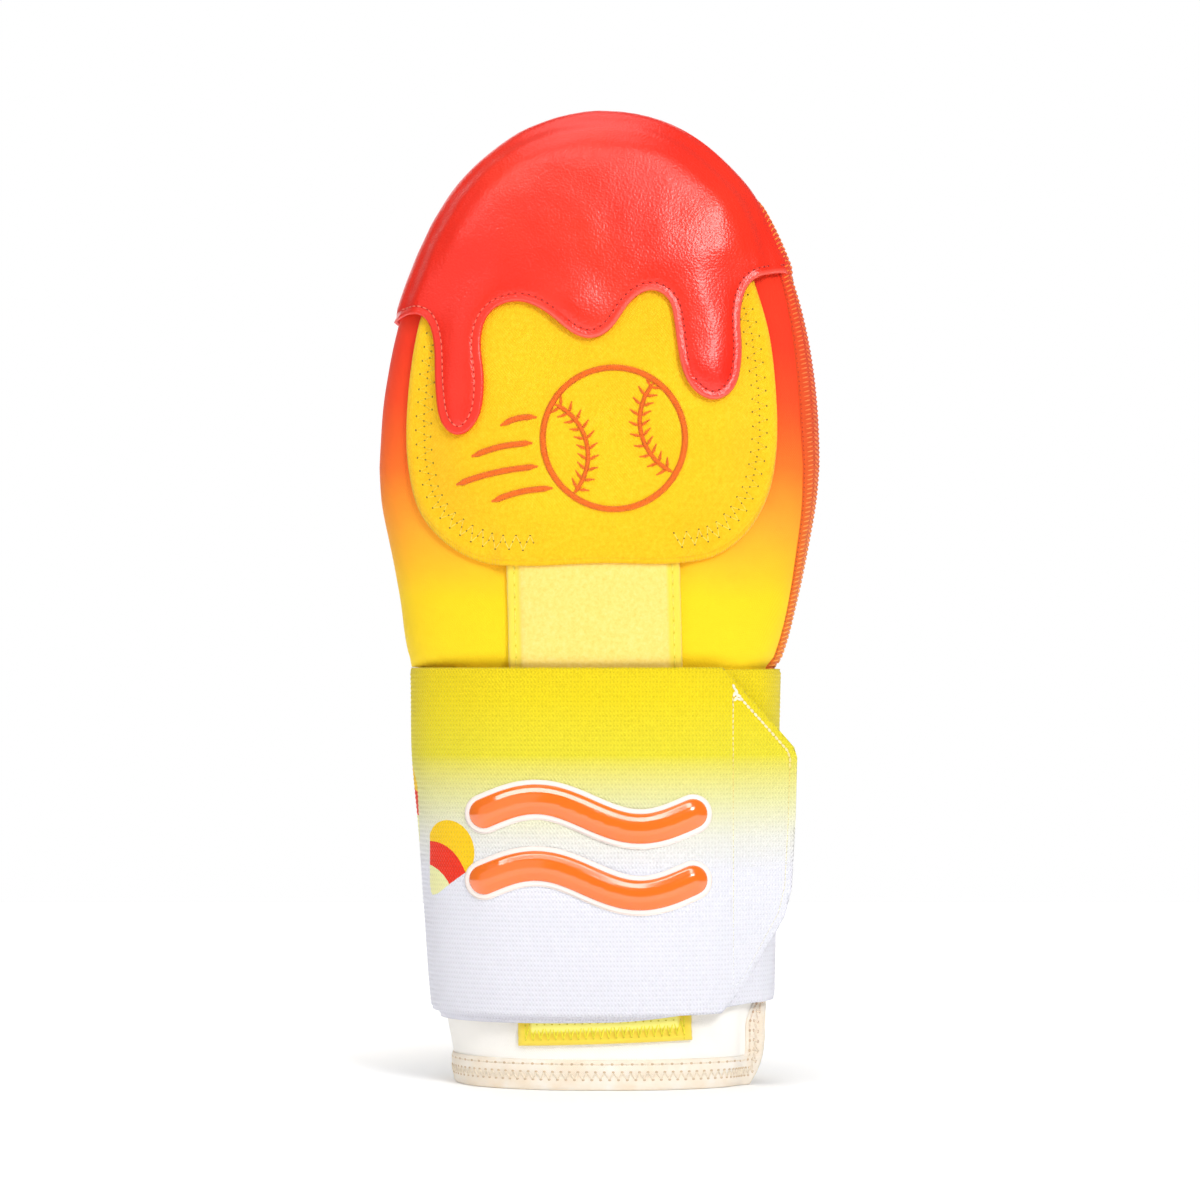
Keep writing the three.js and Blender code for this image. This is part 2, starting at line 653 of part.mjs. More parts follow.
addPiece('hand_shell', makeShell(), FINISHES.neoprene);
addPiece('cuff_hem', makeHem(), FINISHES.hemCloth);
addPiece('tip_cap', makeCap(), FINISHES.coatedLeather);
addPiece('hand_pad', makePad(), FINISHES.brushedKnit);
addPiece('loop_patch', patchSolid(0), FINISHES.loopTape);
addPiece('side_seam', makeSeam(), FINISHES.overlock);
addPiece('wrist_strap', makeStrap(), FINISHES.elastic);
addPiece('strap_tab', makeTab(), FINISHES.hookTape);
for (const wave of WAVES) {
  const top = GAP + EMBLEM_BASE;
  const base = makeEmblem(wave, WAVE_HALF + WAVE_RIM, GAP, top);
  addPiece(`emblem_base_${wave.name}`, base, FINISHES.emblemRim);
  const bar = makeEmblem(wave, WAVE_HALF, top + GAP, top + GAP + EMBLEM_RISE);
  addPiece(`emblem_wave_${wave.name}`, bar, FINISHES.emblemGloss);
}
group.position.set(-MIDDLE.x, -MIDDLE.y, 0);

export default group;
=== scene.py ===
# %% [markdown]
# # A baseball sliding mitt
# A padded mitt that a runner wears to protect the hand. It stands on its open cuff: a neoprene shell, a
# padded panel on the back of the hand, a coated-leather cap that drips over it like icing, and a wide
# elastic strap wound round the wrist. The measured solids of the mitt are loaded first and stay fixed. Each
# soft piece is then made again with the folds, edges, stitches and cloth of the real one.

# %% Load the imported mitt
import math

import bmesh
import bpy
import numpy as np
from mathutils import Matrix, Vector, noise
from mathutils.bvhtree import BVHTree


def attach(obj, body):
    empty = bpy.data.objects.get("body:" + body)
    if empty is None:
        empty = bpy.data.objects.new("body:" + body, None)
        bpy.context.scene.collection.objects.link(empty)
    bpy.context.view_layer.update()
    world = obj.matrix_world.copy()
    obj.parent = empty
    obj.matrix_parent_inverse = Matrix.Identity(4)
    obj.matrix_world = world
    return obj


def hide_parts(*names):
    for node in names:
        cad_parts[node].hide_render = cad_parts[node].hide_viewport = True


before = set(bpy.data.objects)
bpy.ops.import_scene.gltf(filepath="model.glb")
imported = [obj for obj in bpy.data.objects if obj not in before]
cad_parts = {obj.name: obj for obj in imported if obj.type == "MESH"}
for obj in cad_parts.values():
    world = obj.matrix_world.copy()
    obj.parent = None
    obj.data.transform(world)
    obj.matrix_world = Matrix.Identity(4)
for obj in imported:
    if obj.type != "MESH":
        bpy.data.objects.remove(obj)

MM = 0.001
# Noise vectors start from the clock unless they get a seed, and then no two runs give the same stitches
noise.seed_set(7)
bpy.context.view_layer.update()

# %% [markdown]
# ## Camera, floor and light
# The photograph looks straight at the mitt from a metre away with a long lens, on white. The camera comes
# first, because every later choice is judged through it. The key light is a soft box above the camera and to
# the right of it. A long thin strip higher up gives the raised emblem its pale upper edge. A picture of a
# studio all round would be quicker, but lamps can be moved one by one until each highlight is in its place.

# %% Camera at the photograph's angle
def add_aimed(name, data, at, aim):
    """Puts a camera or a lamp at one place and turns it to look at another."""
    thing = bpy.data.objects.new(name, data)
    thing.location = at
    thing.rotation_mode = "QUATERNION"
    thing.rotation_quaternion = (Vector(aim) - Vector(at)).to_track_quat("-Z", "Y")
    bpy.context.scene.collection.objects.link(thing)
    return thing


CAMERA_AT = Vector((0.2, -996.9, 121.5)) * MM
CAMERA_AIM = Vector((0.2, 3.1, 141.3)) * MM
LENS_MM = 101.7
camera = add_aimed("camera", bpy.data.cameras.new("camera"), CAMERA_AT, CAMERA_AIM)
camera.data.lens = LENS_MM
bpy.context.scene.camera = camera
bpy.context.scene.view_settings.view_transform = "Standard"
print("The camera looks from", round((CAMERA_AIM - CAMERA_AT).length / MM), "mm away")

# %% Colours, nodes and empty materials
# A Mix node's two colours are the inputs at these places, after those for numbers and for vectors
MIX_FROM, MIX_TO = 6, 7


def linear(hexcode):
    """A screen colour such as #FF8800, as the linear colour that a shader works in."""
    parts = [int(hexcode[i:i + 2], 16) / 255 for i in (1, 3, 5)]
    return (*[c / 12.92 if c <= 0.04045 else ((c + 0.055) / 1.055) ** 2.4 for c in parts], 1.0)


def set_inputs(node, inputs):
    """Sets inputs to values or to colours as hex codes, or links them from a node or one of its outputs."""
    for name, value in inputs.items():
        if isinstance(value, bpy.types.Node):
            value = next(output for output in value.outputs if output.enabled)
        if isinstance(value, bpy.types.NodeSocket):
            node.id_data.links.new(value, node.inputs[name])
        else:
            node.inputs[name].default_value = linear(value) if isinstance(value, str) else value


def add_node(tree, kind, inputs=None, stops=None, **settings):
    """Adds a node with its settings, its inputs and the stops of a colour ramp."""
    node = tree.nodes.new(kind)
    for name, value in settings.items():
        setattr(node, name, value)
    set_inputs(node, inputs or {})
    if stops:
        ramp = node.color_ramp
        while len(ramp.elements) < len(stops):
            ramp.elements.new(1.0)
        if len(stops) == 1:
            ramp.elements.remove(ramp.elements[1])
        for element, (place, colour) in zip(ramp.elements, stops):
            element.position = place
            element.color = linear(colour)
    return node


def new_material(name, gloss=0.2):
    """An empty material with its tree, shader and coordinates. Cloth has less gloss than a closed surface."""
    material = bpy.data.materials.new(name)
    material.use_nodes = True
    tree = material.node_tree
    shader = tree.nodes["Principled BSDF"]
    set_inputs(shader, {"Specular IOR Level": gloss})
    return material, tree, shader, add_node(tree, "ShaderNodeTexCoord").outputs


# %% Soft boxes and a little light all round
LAMP_AIM = (0, 0, 0.14)
# Each lamp's place in metres, its width and height, and its watts
SOFT_BOXES = {
    "key": ((0.55, -1.0, 0.78), (0.36, 0.36), 7.8),
    "strip": ((-0.1, -0.75, 1.2), (2.2, 0.1), 6.2),
    "fill": ((-1.1, -1.2, 0.5), (1.8, 1.6), 4.4),
    "top": ((-0.1, 0.1, 1.4), (0.9, 0.7), 3.0),
    "back": ((-0.2, 1.3, 0.7), (1.4, 0.8), 5.0),
}
for name, (at, size, power) in SOFT_BOXES.items():
    lamp = bpy.data.lights.new(name, "AREA")
    lamp.shape = "RECTANGLE"
    lamp.size, lamp.size_y = size
    lamp.energy = power
    add_aimed(name, lamp, at, LAMP_AIM)

AMBIENT = 0.2
world = bpy.data.worlds.new("studio")
bpy.context.scene.world = world
world.use_nodes = True
tree = world.node_tree
seen = add_node(tree, "ShaderNodeLightPath").outputs["Is Camera Ray"]
strength = add_node(tree, "ShaderNodeMix", {"Factor": seen, "A": AMBIENT, "B": 1.0})
set_inputs(tree.nodes["Background"], {"Color": "#FFFFFF", "Strength": strength})
print(len(SOFT_BOXES), "soft boxes")

# %% White floor
# The floor glows a little, which is painted light, and more away from the mitt: it is plain white but for a
# soft shadow at its foot, partly cast and partly painted by the weaker glow there
FLOOR_HALF = 0.75
NEAR_GLOW, FAR_GLOW = 0.1, 0.5
NEAR, FAR = 0.05, 0.13
bm = bmesh.new()
bmesh.ops.create_grid(bm, x_segments=1, y_segments=1, size=FLOOR_HALF)
floor = bpy.data.objects.new("floor", bpy.data.meshes.new("floor"))
bm.to_mesh(floor.data)
bm.free()
bpy.context.scene.collection.objects.link(floor)
glowing_floor_material, tree, shader, place = new_material("white_floor_with_painted_glow", gloss=0.0)
# Painted light and shadow: the glow is weak near the mitt and strong further out
away = add_node(tree, "ShaderNodeVectorMath", {0: place["Object"]}, operation="LENGTH")
glow = add_node(tree, "ShaderNodeMapRange", {"Value": away, "From Min": NEAR, "From Max": FAR,
                                             "To Min": NEAR_GLOW, "To Max": FAR_GLOW})
set_inputs(shader, {"Base Color": "#FFFFFF", "Roughness": 1.0, "Emission Color": "#FFFFFF",
                    "Emission Strength": glow})
floor.data.materials.append(glowing_floor_material)
print("A floor", 2 * FLOOR_HALF, "m wide")

# %% [markdown]
# ## The hand's form
# Every piece of the mitt is a layer laid on one form: a stack of rounded sections with a domed tip. A
# section is a superellipse, |x/a|^n + |y/b|^n = 1, which is an ellipse at n = 2 and squarer above that. The
# sizes here are the ones that the solids were made from, so the cloth lands where the solids are.

# %% Sections of the form, in millimetres
# Columns: height, left side, right side, depth in front, depth behind, and how square the section is
SECTIONS = np.array([
    (-8, -41.0, 44.2, 25.2, 25.2, 2.2),
    (0, -41.8, 45.6, 25.2, 25.2, 2.2),
    (9, -43.1, 47.6, 25.2, 25.2, 2.2),
    (20, -45.2, 48.1, 25.0, 25.0, 2.2),
    (48, -47.5, 48.6, 24.6, 24.8, 2.25),
    (75, -49.3, 49.1, 23.8, 24.4, 2.3),
    (100, -51.4, 49.6, 22.6, 23.8, 2.35),
    (121.2, -51.8, 50.0, 21.8, 23.4, 2.4),
    (124.5, -56.2, 52.2, 24.0, 25.4, 2.4),
    (141, -58.8, 56.8, 23.2, 25.2, 2.45),
    (159, -62.4, 60.6, 21.4, 24.2, 2.5),
    (172, -64.7, 62.8, 20.3, 23.2, 2.55),
    (180, -65.1, 63.5, 19.8, 22.6, 2.6),
])
DOME_Z = SECTIONS[-1, 0]
TIP_HEIGHT, TIP_HEIGHT_POWER, TIP_WIDTH_POWER, TIP_DEPTH_POWER = 104.2, 2.05, 2.2, 3.0
TIP_TAPER, TIP_MIDDLE, TIP_SQUARE = 0.25, 0.9, 2.8
SHIFT = np.array([0.2, 3.1, 0.0])


def smooth_column(at, value, wanted):
    """Monotone cubic through one column of a table, so that it never overshoots."""
    slope = np.diff(value) / np.diff(at)
    product, total = slope[:-1] * slope[1:], slope[:-1] + slope[1:]
    middle = np.where(product > 0, 2 * product / np.where(total == 0, 1, total), 0)
    tangent = np.concatenate([slope[:1], middle, slope[-1:]])
    wanted = np.clip(wanted, at[0], at[-1])
    i = np.clip(np.searchsorted(at, wanted) - 1, 0, len(at) - 2)
    span = at[i + 1] - at[i]
    s = (wanted - at[i]) / span
    rise = value[i + 1] - value[i]
    bend = (1 - s) * (tangent[i] * span - rise) + s * (rise - tangent[i + 1] * span)
    return (1 - s) * value[i] + s * value[i + 1] + s * (1 - s) * bend


def section_at(level):
    """Sizes at levels. A level is a height up to the dome, then the dome's height plus 0 to 90 degrees."""
    level = np.asarray(level, float)
    z = np.minimum(level, DOME_Z)
    left, right, front, back, square = (smooth_column(SECTIONS[:, 0], column, z) for column in SECTIONS.T[1:])
    middle, half = (left + right) / 2, (right - left) / 2
    angle = np.radians(np.clip(level - DOME_Z, 0, 90))
    lift = np.sin(angle) ** (2 / TIP_HEIGHT_POWER)
    cos = np.maximum(np.cos(angle), 0)
    depth = (1 - TIP_TAPER * lift) * cos ** (2 / TIP_DEPTH_POWER)
    return {
        "z": z + TIP_HEIGHT * lift,
        "middle": middle + (TIP_MIDDLE - middle) * lift,
        "half": half * cos ** (2 / TIP_WIDTH_POWER),
        "front": front * depth,
        "back": back * depth,
        "square": square + (TIP_SQUARE - square) * lift,
    }


def level_of(z):
    """The level that lies at a height."""
    share = np.clip((np.asarray(z, float) - DOME_Z) / TIP_HEIGHT, 0, 1)
    return np.minimum(z, DOME_Z) + np.degrees(np.arcsin(share ** (TIP_HEIGHT_POWER / 2)))


print("The form stands", DOME_Z + TIP_HEIGHT, "mm tall")

# %% A table of the whole form, for pieces that go round it
LEVELS = np.arange(-8.0, DOME_Z + 90.01, 0.5)
LOOP_SAMPLES, TURNS, CURL_WEIGHT = 1440, 720, 10.0


def loop_of(level):
    """One section as points evenly spaced by length and turning, from the right side by the back."""
    s = section_at(level)
    angle = np.linspace(0, 2 * np.pi, LOOP_SAMPLES + 1)
    cos, sin = np.cos(angle), np.sin(angle)
    power = 2 / s["square"]
    x = s["middle"] + s["half"] * np.sign(cos) * np.abs(cos) ** power
    y = np.where(sin < 0, s["front"], s["back"]) * np.sign(sin) * np.abs(sin) ** power
    dx, dy = np.diff(x), np.diff(y)
    heading = np.unwrap(np.arctan2(dy, dx))
    turning = np.abs(np.diff(np.concatenate([heading[-1:] - 2 * np.pi, heading])))
    weight = np.concatenate([[0], np.cumsum(np.hypot(dx, dy) + CURL_WEIGHT * turning)])
    target = np.linspace(0, weight[-1], TURNS + 1)
    return np.column_stack([np.interp(target, weight, x), np.interp(target, weight, y),
                            np.full(TURNS + 1, s["z"])])


def unit(vectors):
    """Vectors of the same ways, each one long."""
    return vectors / np.maximum(np.linalg.norm(vectors, axis=-1, keepdims=True), 1e-9)


FORM = np.array([loop_of(level) for level in LEVELS])
round_way = np.roll(FORM[:, :-1], -1, axis=1) - np.roll(FORM[:, :-1], 1, axis=1)
round_way = np.concatenate([round_way, round_way[:, :1]], axis=1)
NORMAL = unit(np.cross(round_way, np.gradient(FORM, axis=0)))
NORMAL[-1] = (0, 0, 1)


def look_up(table, level, turn):
    """The table's value between its rows and columns."""
    row = np.clip((level - LEVELS[0]) / (LEVELS[1] - LEVELS[0]), 0, len(LEVELS) - 1.001)
    column = (turn % 1.0) * TURNS
    i, j = row.astype(int), np.minimum(column.astype(int), TURNS - 1)
    s, t = (row - i)[:, None], (column - j)[:, None]
    low = (1 - t) * table[i, j] + t * table[i, j + 1]
    high = (1 - t) * table[i + 1, j] + t * table[i + 1, j + 1]
    return (1 - s) * low + s * high


def lay_round(level, turn, lift):
    """Points laid round the form, lifted off it along its normal."""
    return look_up(FORM, level, turn) + lift[:, None] * unit(look_up(NORMAL, level, turn))


print("The form as a table of", FORM.shape[0], "levels and", FORM.shape[1], "turns")

# %% Laying a flat pattern on the front of the form
STEP, LAYING_PASSES = 0.05, 5


def front_y(x, z):
    """How far forward the form's front is at a place seen from the front."""
    s = section_at(level_of(z))
    across = np.clip(np.abs((x - s["middle"]) / np.maximum(s["half"], 1e-6)), 0, 1)
    return -s["front"] * (1 - across ** s["square"]) ** (1 / s["square"])


def front_normal(x, z):
    """The way out of the form's front."""
    slope_x = (front_y(x + STEP, z) - front_y(x - STEP, z)) / (2 * STEP)
    slope_z = (front_y(x, z + STEP) - front_y(x, z - STEP)) / (2 * STEP)
    return unit(np.column_stack([slope_x, -np.ones_like(x), slope_z]))


def foot_of(x, z, lift_of):
    """The foot on the form of points seen at x and z, and how far and which way the points stand off it."""
    foot_x, foot_z = x, z
    for _ in range(LAYING_PASSES):
        normal = front_normal(foot_x, foot_z)
        lift = lift_of(foot_x, foot_z)
        foot_x, foot_z = x - lift * normal[:, 0], z - lift * normal[:, 2]
    return foot_x, foot_z, lift, normal


def lay_front(x, z, lift_of):
    """Points that are seen at x and z from the front, lifted off the form by a function of their foot."""
    foot_x, foot_z, lift, normal = foot_of(x, z, lift_of)
    return np.column_stack([foot_x, front_y(foot_x, foot_z), foot_z]) + lift[:, None] * normal


# %% [markdown]
# ## From a flat pattern to a piece of cloth
# A mitt is cut from flat sheets, and its pieces are made here the same way: the outline is one big face,
# inset a few times so that rows of faces follow the edge, and the rest is sliced by parallel planes into a
# grid. The flat panel is then laid on the form. Working from the pattern keeps each cut edge smooth, which a
# boolean cut of a finished shell would not.

# %% Outlines
def length_along(points):
    """How far along a line of points each of them lies."""
    return np.concatenate([[0], np.cumsum(np.linalg.norm(np.diff(points, axis=0), axis=1))])


def places_along(points, wanted):
    """Places at wanted lengths along a line of points."""
    return np.column_stack([np.interp(wanted, length_along(points), column) for column in points.T])


def smooth_line(stops, pitch, closed=False):
    """A smooth line through a few stops, as points about one pitch apart."""
    stops = np.asarray(stops, float)
    if closed:
        around = np.vstack([stops[-1:], stops, stops[:2]])
    else:
        around = np.vstack([2 * stops[0] - stops[1], stops, 2 * stops[-1] - stops[-2]])
    t = np.linspace(0, 1, 24, endpoint=False)[:, None]
    fine = []
    for a, b, c, d in zip(around, around[1:], around[2:], around[3:]):
        p, q, r = (np.linalg.norm(v) ** 0.5 for v in (b - a, c - b, d - c))
        leave = ((b - a) / p - (c - a) / (p + q) + (c - b) / q) * q
        arrive = ((c - b) / q - (d - b) / (q + r) + (d - c) / r) * q
        fine.append((2 * t**3 - 3 * t**2 + 1) * b + (t**3 - 2 * t**2 + t) * leave
                    + (3 * t**2 - 2 * t**3) * c + (t**3 - t**2) * arrive)
    fine = np.vstack([*fine, around[-2:-1]])
    length = length_along(fine)[-1]
    line = places_along(fine, np.linspace(0, length, max(int(round(length / pitch)), 3) + 1))
    return line[:-1] if closed else line


def depth_inside(outline, x, z):
    """How deep places lie inside an outline. Outside it the depth is negative."""
    start, end = outline, np.roll(outline, -1, axis=0)
    nearest = np.full(len(x), np.inf)
    inside = np.zeros(len(x), bool)
    for (ax, az), (bx, bz) in zip(start, end):
        length = max((bx - ax) ** 2 + (bz - az) ** 2, 1e-12)
        s = np.clip(((x - ax) * (bx - ax) + (z - az) * (bz - az)) / length, 0, 1)
        nearest = np.minimum(nearest, np.hypot(x - ax - s * (bx - ax), z - az - s * (bz - az)))
        if az != bz:
            inside ^= ((az > z) != (bz > z)) & (x < ax + (z - az) * (bx - ax) / (bz - az))
    return np.where(inside, nearest, -nearest)


def smoothstep(value, low, high):
    """Eases from 0 at low to 1 at high."""
    t = np.clip((value - low) / (high - low), 0, 1)
    return t * t * (3 - 2 * t)


# %% Cutting a panel
def with_edges(faces):
    """Faces with their corners and edges, always in the same order."""
    parts = dict.fromkeys(faces)
    for face in faces:
        parts.update(dict.fromkeys([*face.verts, *face.edges]))
    return list(parts)


def slice_faces(bm, faces, axis, stops):
    """Cuts faces by parallel planes, one after another."""
    way = Vector((1, 0, 0)) if axis == 0 else Vector((0, 0, 1))
    done, ahead = [], list(faces)
    for stop in stops:
        cut = bmesh.ops.bisect_plane(bm, geom=with_edges(ahead), dist=1e-4, plane_co=way * stop, plane_no=way)
        ahead = []
        for part in cut["geom"]:
            if isinstance(part, bmesh.types.BMFace):
                further = any(v.co[axis] > stop + 1e-3 for v in part.verts)
                (ahead if further else done).append(part)
    return done + ahead


def cut_panel(outline, bands, pitch):
    """A flat panel in the XZ plane: rows that follow the edge, then a grid. Its normal is -Y."""
    bm = bmesh.new()
    points = [(float(x), float(z)) for x, z in outline]
    area = sum(a[0] * b[1] - b[0] * a[1] for a, b in zip(points, points[1:] + points[:1]))
    ring = [bm.verts.new((x, 0, z)) for x, z in (points if area > 0 else points[::-1])]
    middle = bm.faces.new(ring)
    for width in bands:
        bmesh.ops.inset_region(bm, faces=[middle], thickness=width, use_boundary=True, use_even_offset=True)
    low = [min(v.co[axis] for v in middle.verts) for axis in (0, 2)]
    high = [max(v.co[axis] for v in middle.verts) for axis in (0, 2)]
    strips = slice_faces(bm, [middle], 0, np.arange(low[0] + pitch[0] * 0.6, high[0], pitch[0]))
    slice_faces(bm, strips, 2, np.arange(low[1] + pitch[1] * 0.6, high[1], pitch[1]))
    return bm


def pattern_points(bm):
    """The pattern's places of all vertices, x and z."""
    bm.verts.ensure_lookup_table()
    flat = np.array([v.co for v in bm.verts])
    return flat[:, 0], flat[:, 2]


def set_points(bm, points):
    """Moves all vertices to places in the form's millimetres."""
    for vert, point in zip(bm.verts, (points + SHIFT) * MM):
        vert.co = point


def keep_uv(bm, u, v):
    """Keeps the pattern's places, in metres, as the UV map that the weave follows."""
    layer = bm.loops.layers.uv.new("cloth")
    bm.verts.index_update()
    for face in bm.faces:
        for loop in face.loops:
            i = loop.vert.index
            loop[layer].uv = (u[i] * MM, v[i] * MM)


def keep_mark(bm, name, values):
    """Keeps a value for each vertex, as an attribute that a material or a later cut reads."""
    layer = bm.verts.layers.float.new(name)
    for vert, value in zip(bm.verts, values):
        vert[layer] = value


# %% Finishing a piece
def add_piece(name, mesh, material, nodes=()):
    """Puts a mesh in the scene as a piece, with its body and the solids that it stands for."""
    piece = bpy.data.objects.new(name, mesh)
    bpy.context.scene.collection.objects.link(piece)
    mesh.materials.append(material)
    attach(piece, "root")
    if nodes:
        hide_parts(*nodes)
    return piece


def finish_piece(bm, name, material, nodes, skin):
    """Makes a piece of a laid panel, and gives it a wall under its face."""
    for face in bm.faces:
        face.smooth = True
    mesh = bpy.data.meshes.new(name)
    bm.to_mesh(mesh)
    bm.free()
    piece = add_piece(name, mesh, material, nodes)
    wall = piece.modifiers.new("wall", "SOLIDIFY")
    wall.thickness = skin * MM
    wall.offset = -1.0
    print(f"{name}: {len(mesh.vertices)} vertices, {len(mesh.polygons)} faces")
    return piece


# %% [markdown]
# ## Neoprene shell
# The shell is 3.5 mm neoprene with a printed jersey face, folded round the left side and open at the right
# of the cuff, where the hand goes in. It is one rectangle, wrapped round the form: its two side edges are
# sewn together above the slit and stay apart below it, and its top row shrinks to the tip.

# %% Neoprene, faced with printed jersey
def knit_height(tree, place, course_mm, wale_mm, grain):
    """Fine rows and columns of a knit, as a height for a bump."""
    parts = add_node(tree, "ShaderNodeSeparateXYZ", {"Vector": place}).outputs
    waves = []
    for way, size_mm in (("Y", course_mm), ("X", wale_mm)):
        turned = add_node(tree, "ShaderNodeMath", {0: parts[way], 1: 2 * math.pi / (size_mm * MM)},
                          operation="MULTIPLY")
        waves.append(add_node(tree, "ShaderNodeMath", {0: turned}, operation="SINE"))
    knit = add_node(tree, "ShaderNodeMath", {0: waves[0], 1: waves[1]}, operation="MULTIPLY")
    return add_node(tree, "ShaderNodeMath", {0: grain, 1: 0.35, 2: knit}, operation="MULTIPLY_ADD")


# Neoprene is a soft foam rubber with a fine knit glued on its face, so it is matt with a faint sheen. The dye
# runs from red at the tip to yellow at the wrist and cream at the cuff, by height in millimetres.
DYE_TOP = 290
NEOPRENE_DYE = [(0, "#FFFCF6"), (24, "#FFFCF6"), (62, "#FFF6C2"), (112, "#FFDE1D"), (141, "#FFD516"),
                (163, "#FFA62A"), (180, "#FF7424"), (200, "#FF4C20"), (216, "#FA3A1C"), (285, "#F4321A")]
neoprene, tree, shader, place = new_material("jersey_faced_neoprene")
parts = add_node(tree, "ShaderNodeSeparateXYZ", {"Vector": place["Object"]})
mottle = add_node(tree, "ShaderNodeTexNoise", {"Vector": place["Object"], "Scale": 45.0, "Detail": 4.0})
height = add_node(tree, "ShaderNodeMapRange", {"Value": parts.outputs["Z"], "From Max": DYE_TOP * MM})
shifted = add_node(tree, "ShaderNodeMath", {0: mottle, 1: 0.03, 2: height}, operation="MULTIPLY_ADD")
lowered = add_node(tree, "ShaderNodeMath", {0: shifted, 1: 0.015}, operation="SUBTRACT")
dye = add_node(tree, "ShaderNodeValToRGB", {"Fac": lowered},
               stops=[(z / DYE_TOP, colour) for z, colour in NEOPRENE_DYE])
grain = add_node(tree, "ShaderNodeTexNoise", {"Vector": place["Object"], "Scale": 900.0, "Detail": 3.0})
knit = knit_height(tree, place["UV"], 0.9, 0.8, grain)
bump = add_node(tree, "ShaderNodeBump", {"Height": knit, "Strength": 0.35, "Distance": 0.00012})
set_inputs(shader, {"Base Color": dye, "Normal": bump, "Roughness": 0.7, "Sheen Weight": 0.15,
                    "Sheen Roughness": 0.4})
print("Neoprene material with", len(tree.nodes), "nodes")

# %% The rectangle that goes round the form
GAP = 0.3
SHELL_WALL = 3.5
ROUND = 290.0
SLIT_Y, SLIT_HALF, SLIT_TOP, SLIT_FLARE, SLIT_FLARE_HEIGHT = 1.0, 1.6, 84.0, 6.0, 12.0
HEM_FOLD = 1.0
FOLD_ROWS, FOLD_OUT, FOLD_FADE = (121.3, 121.55), 3.6, (0.03, 0.12)
FLAP_FROM, FLAP_LENGTH, FLAP_EDGE, FLAP_FADE = 0.87, 19.5, (47.8, -8.0), (17.0, 31.0)
front_line = FORM[:, int(0.75 * TURNS)]
climbed = length_along(front_line)
dome_row = int(np.searchsorted(LEVELS, DOME_Z))
HEIGHTS = np.where(LEVELS <= DOME_Z, LEVELS, DOME_Z + climbed - climbed[dome_row])
TOP = HEIGHTS[-1]


def slit_half_at(z):
    """Half the slit's width at a height: flared at the mouth, rounded at its top and sewn shut above."""
    flare = SLIT_FLARE * (1 - np.clip(z / SLIT_FLARE_HEIGHT, 0, 1)) ** 2
    below = np.clip(z - (SLIT_TOP - SLIT_HALF), 0, SLIT_HALF)
    return np.where(z < SLIT_TOP, np.sqrt(SLIT_HALF**2 - below**2) + flare, 0.0)


def flap_shift(level, turn):
    """How far the slit's front edge moves when the cuff's front panel runs on flat to it at the mouth."""
    near = (turn > FLAP_FROM) & (turn < 1.02) & (level < FLAP_FADE[1])
    shift = np.zeros((len(turn), 3))
    if near.any():
        level, turn = level[near], turn[near]
        first = look_up(FORM, level, np.full(len(turn), FLAP_FROM))
        run = ROUND * (1 - FLAP_FROM)
        left = ROUND * (1 - turn)
        length = left * (1 - (1 - FLAP_LENGTH / run) * left / run)
        way = unit(np.column_stack([first[:, :2] - FLAP_EDGE, np.zeros(len(turn))]))
        flat = np.column_stack([np.full((len(turn), 2), FLAP_EDGE), first[:, 2]]) + length[:, None] * way
        share = smoothstep(turn, FLAP_FROM, 1.0) * (1 - smoothstep(level, *FLAP_FADE))
        shift[near] = share[:, None] * (flat - look_up(FORM, level, np.minimum(turn, 1.0)))
    return shift


def lay_sheet(across, height, lift, trim=0.0):
    """Points of the shell's rectangle. Across runs from the slit's back edge round to its front edge."""
    level = np.interp(height, HEIGHTS, LEVELS)
    gap = slit_half_at(height) + np.where(height < SLIT_TOP, trim, 0)
    inset = np.minimum(gap / ROUND, 0.2)
    turn = SLIT_Y / ROUND + inset + (across / ROUND) * (1 - 2 * inset)
    return lay_round(level, turn, lift) + flap_shift(level, turn)


# %% Wrap the shell
SHELL_COLUMNS, SHELL_ROWS = 180, 150
SHELL_DENTS, SHELL_DENT_SIZE, SHELL_SUNK = 0.25, 16.0, 0.1


def flat_sheet(columns, rows, size):
    """A rectangle of faces in the XZ plane, with its lower left corner at the origin. It faces -Y."""
    bm = bmesh.new()
    bmesh.ops.create_grid(bm, x_segments=columns, y_segments=rows, size=0.5)
    for vert in bm.verts:
        vert.co = ((vert.co.x + 0.5) * size[0], 0, (vert.co.y + 0.5) * size[1])
    return bm


bm = flat_sheet(SHELL_COLUMNS, SHELL_ROWS, (ROUND, TOP - HEM_FOLD - GAP))
bmesh.ops.translate(bm, verts=bm.verts, vec=(0, 0, HEM_FOLD + GAP))
x, z = pattern_points(bm)
# Two rows meet where the strap's top edge will be, and at the left the cloth folds out over that edge
row_heights = np.unique(np.round(z, 3))
fold_row = np.searchsorted(row_heights, FOLD_ROWS[0])
for old_height, new_height in zip(row_heights[fold_row - 1:], FOLD_ROWS):
    z = np.where(np.isclose(z, old_height, atol=0.01), new_height, z)
fold = FOLD_OUT * np.isclose(z, FOLD_ROWS[1]) * (1 - smoothstep(np.abs(x / ROUND - 0.5), *FOLD_FADE))
points = lay_sheet(x, z, np.zeros_like(x), trim=HEM_FOLD + GAP)
dents = np.array([noise.noise(Vector(p) / SHELL_DENT_SIZE) for p in points])
keep_uv(bm, x, z)
points = lay_sheet(x, z, SHELL_DENTS * dents - SHELL_SUNK, trim=HEM_FOLD + GAP)
points[:, 0] -= fold
set_points(bm, points)
bmesh.ops.remove_doubles(bm, verts=bm.verts, dist=0.02 * MM)
finish_piece(bm, "neoprene_shell", neoprene, ["hand_shell"], skin=SHELL_WALL)

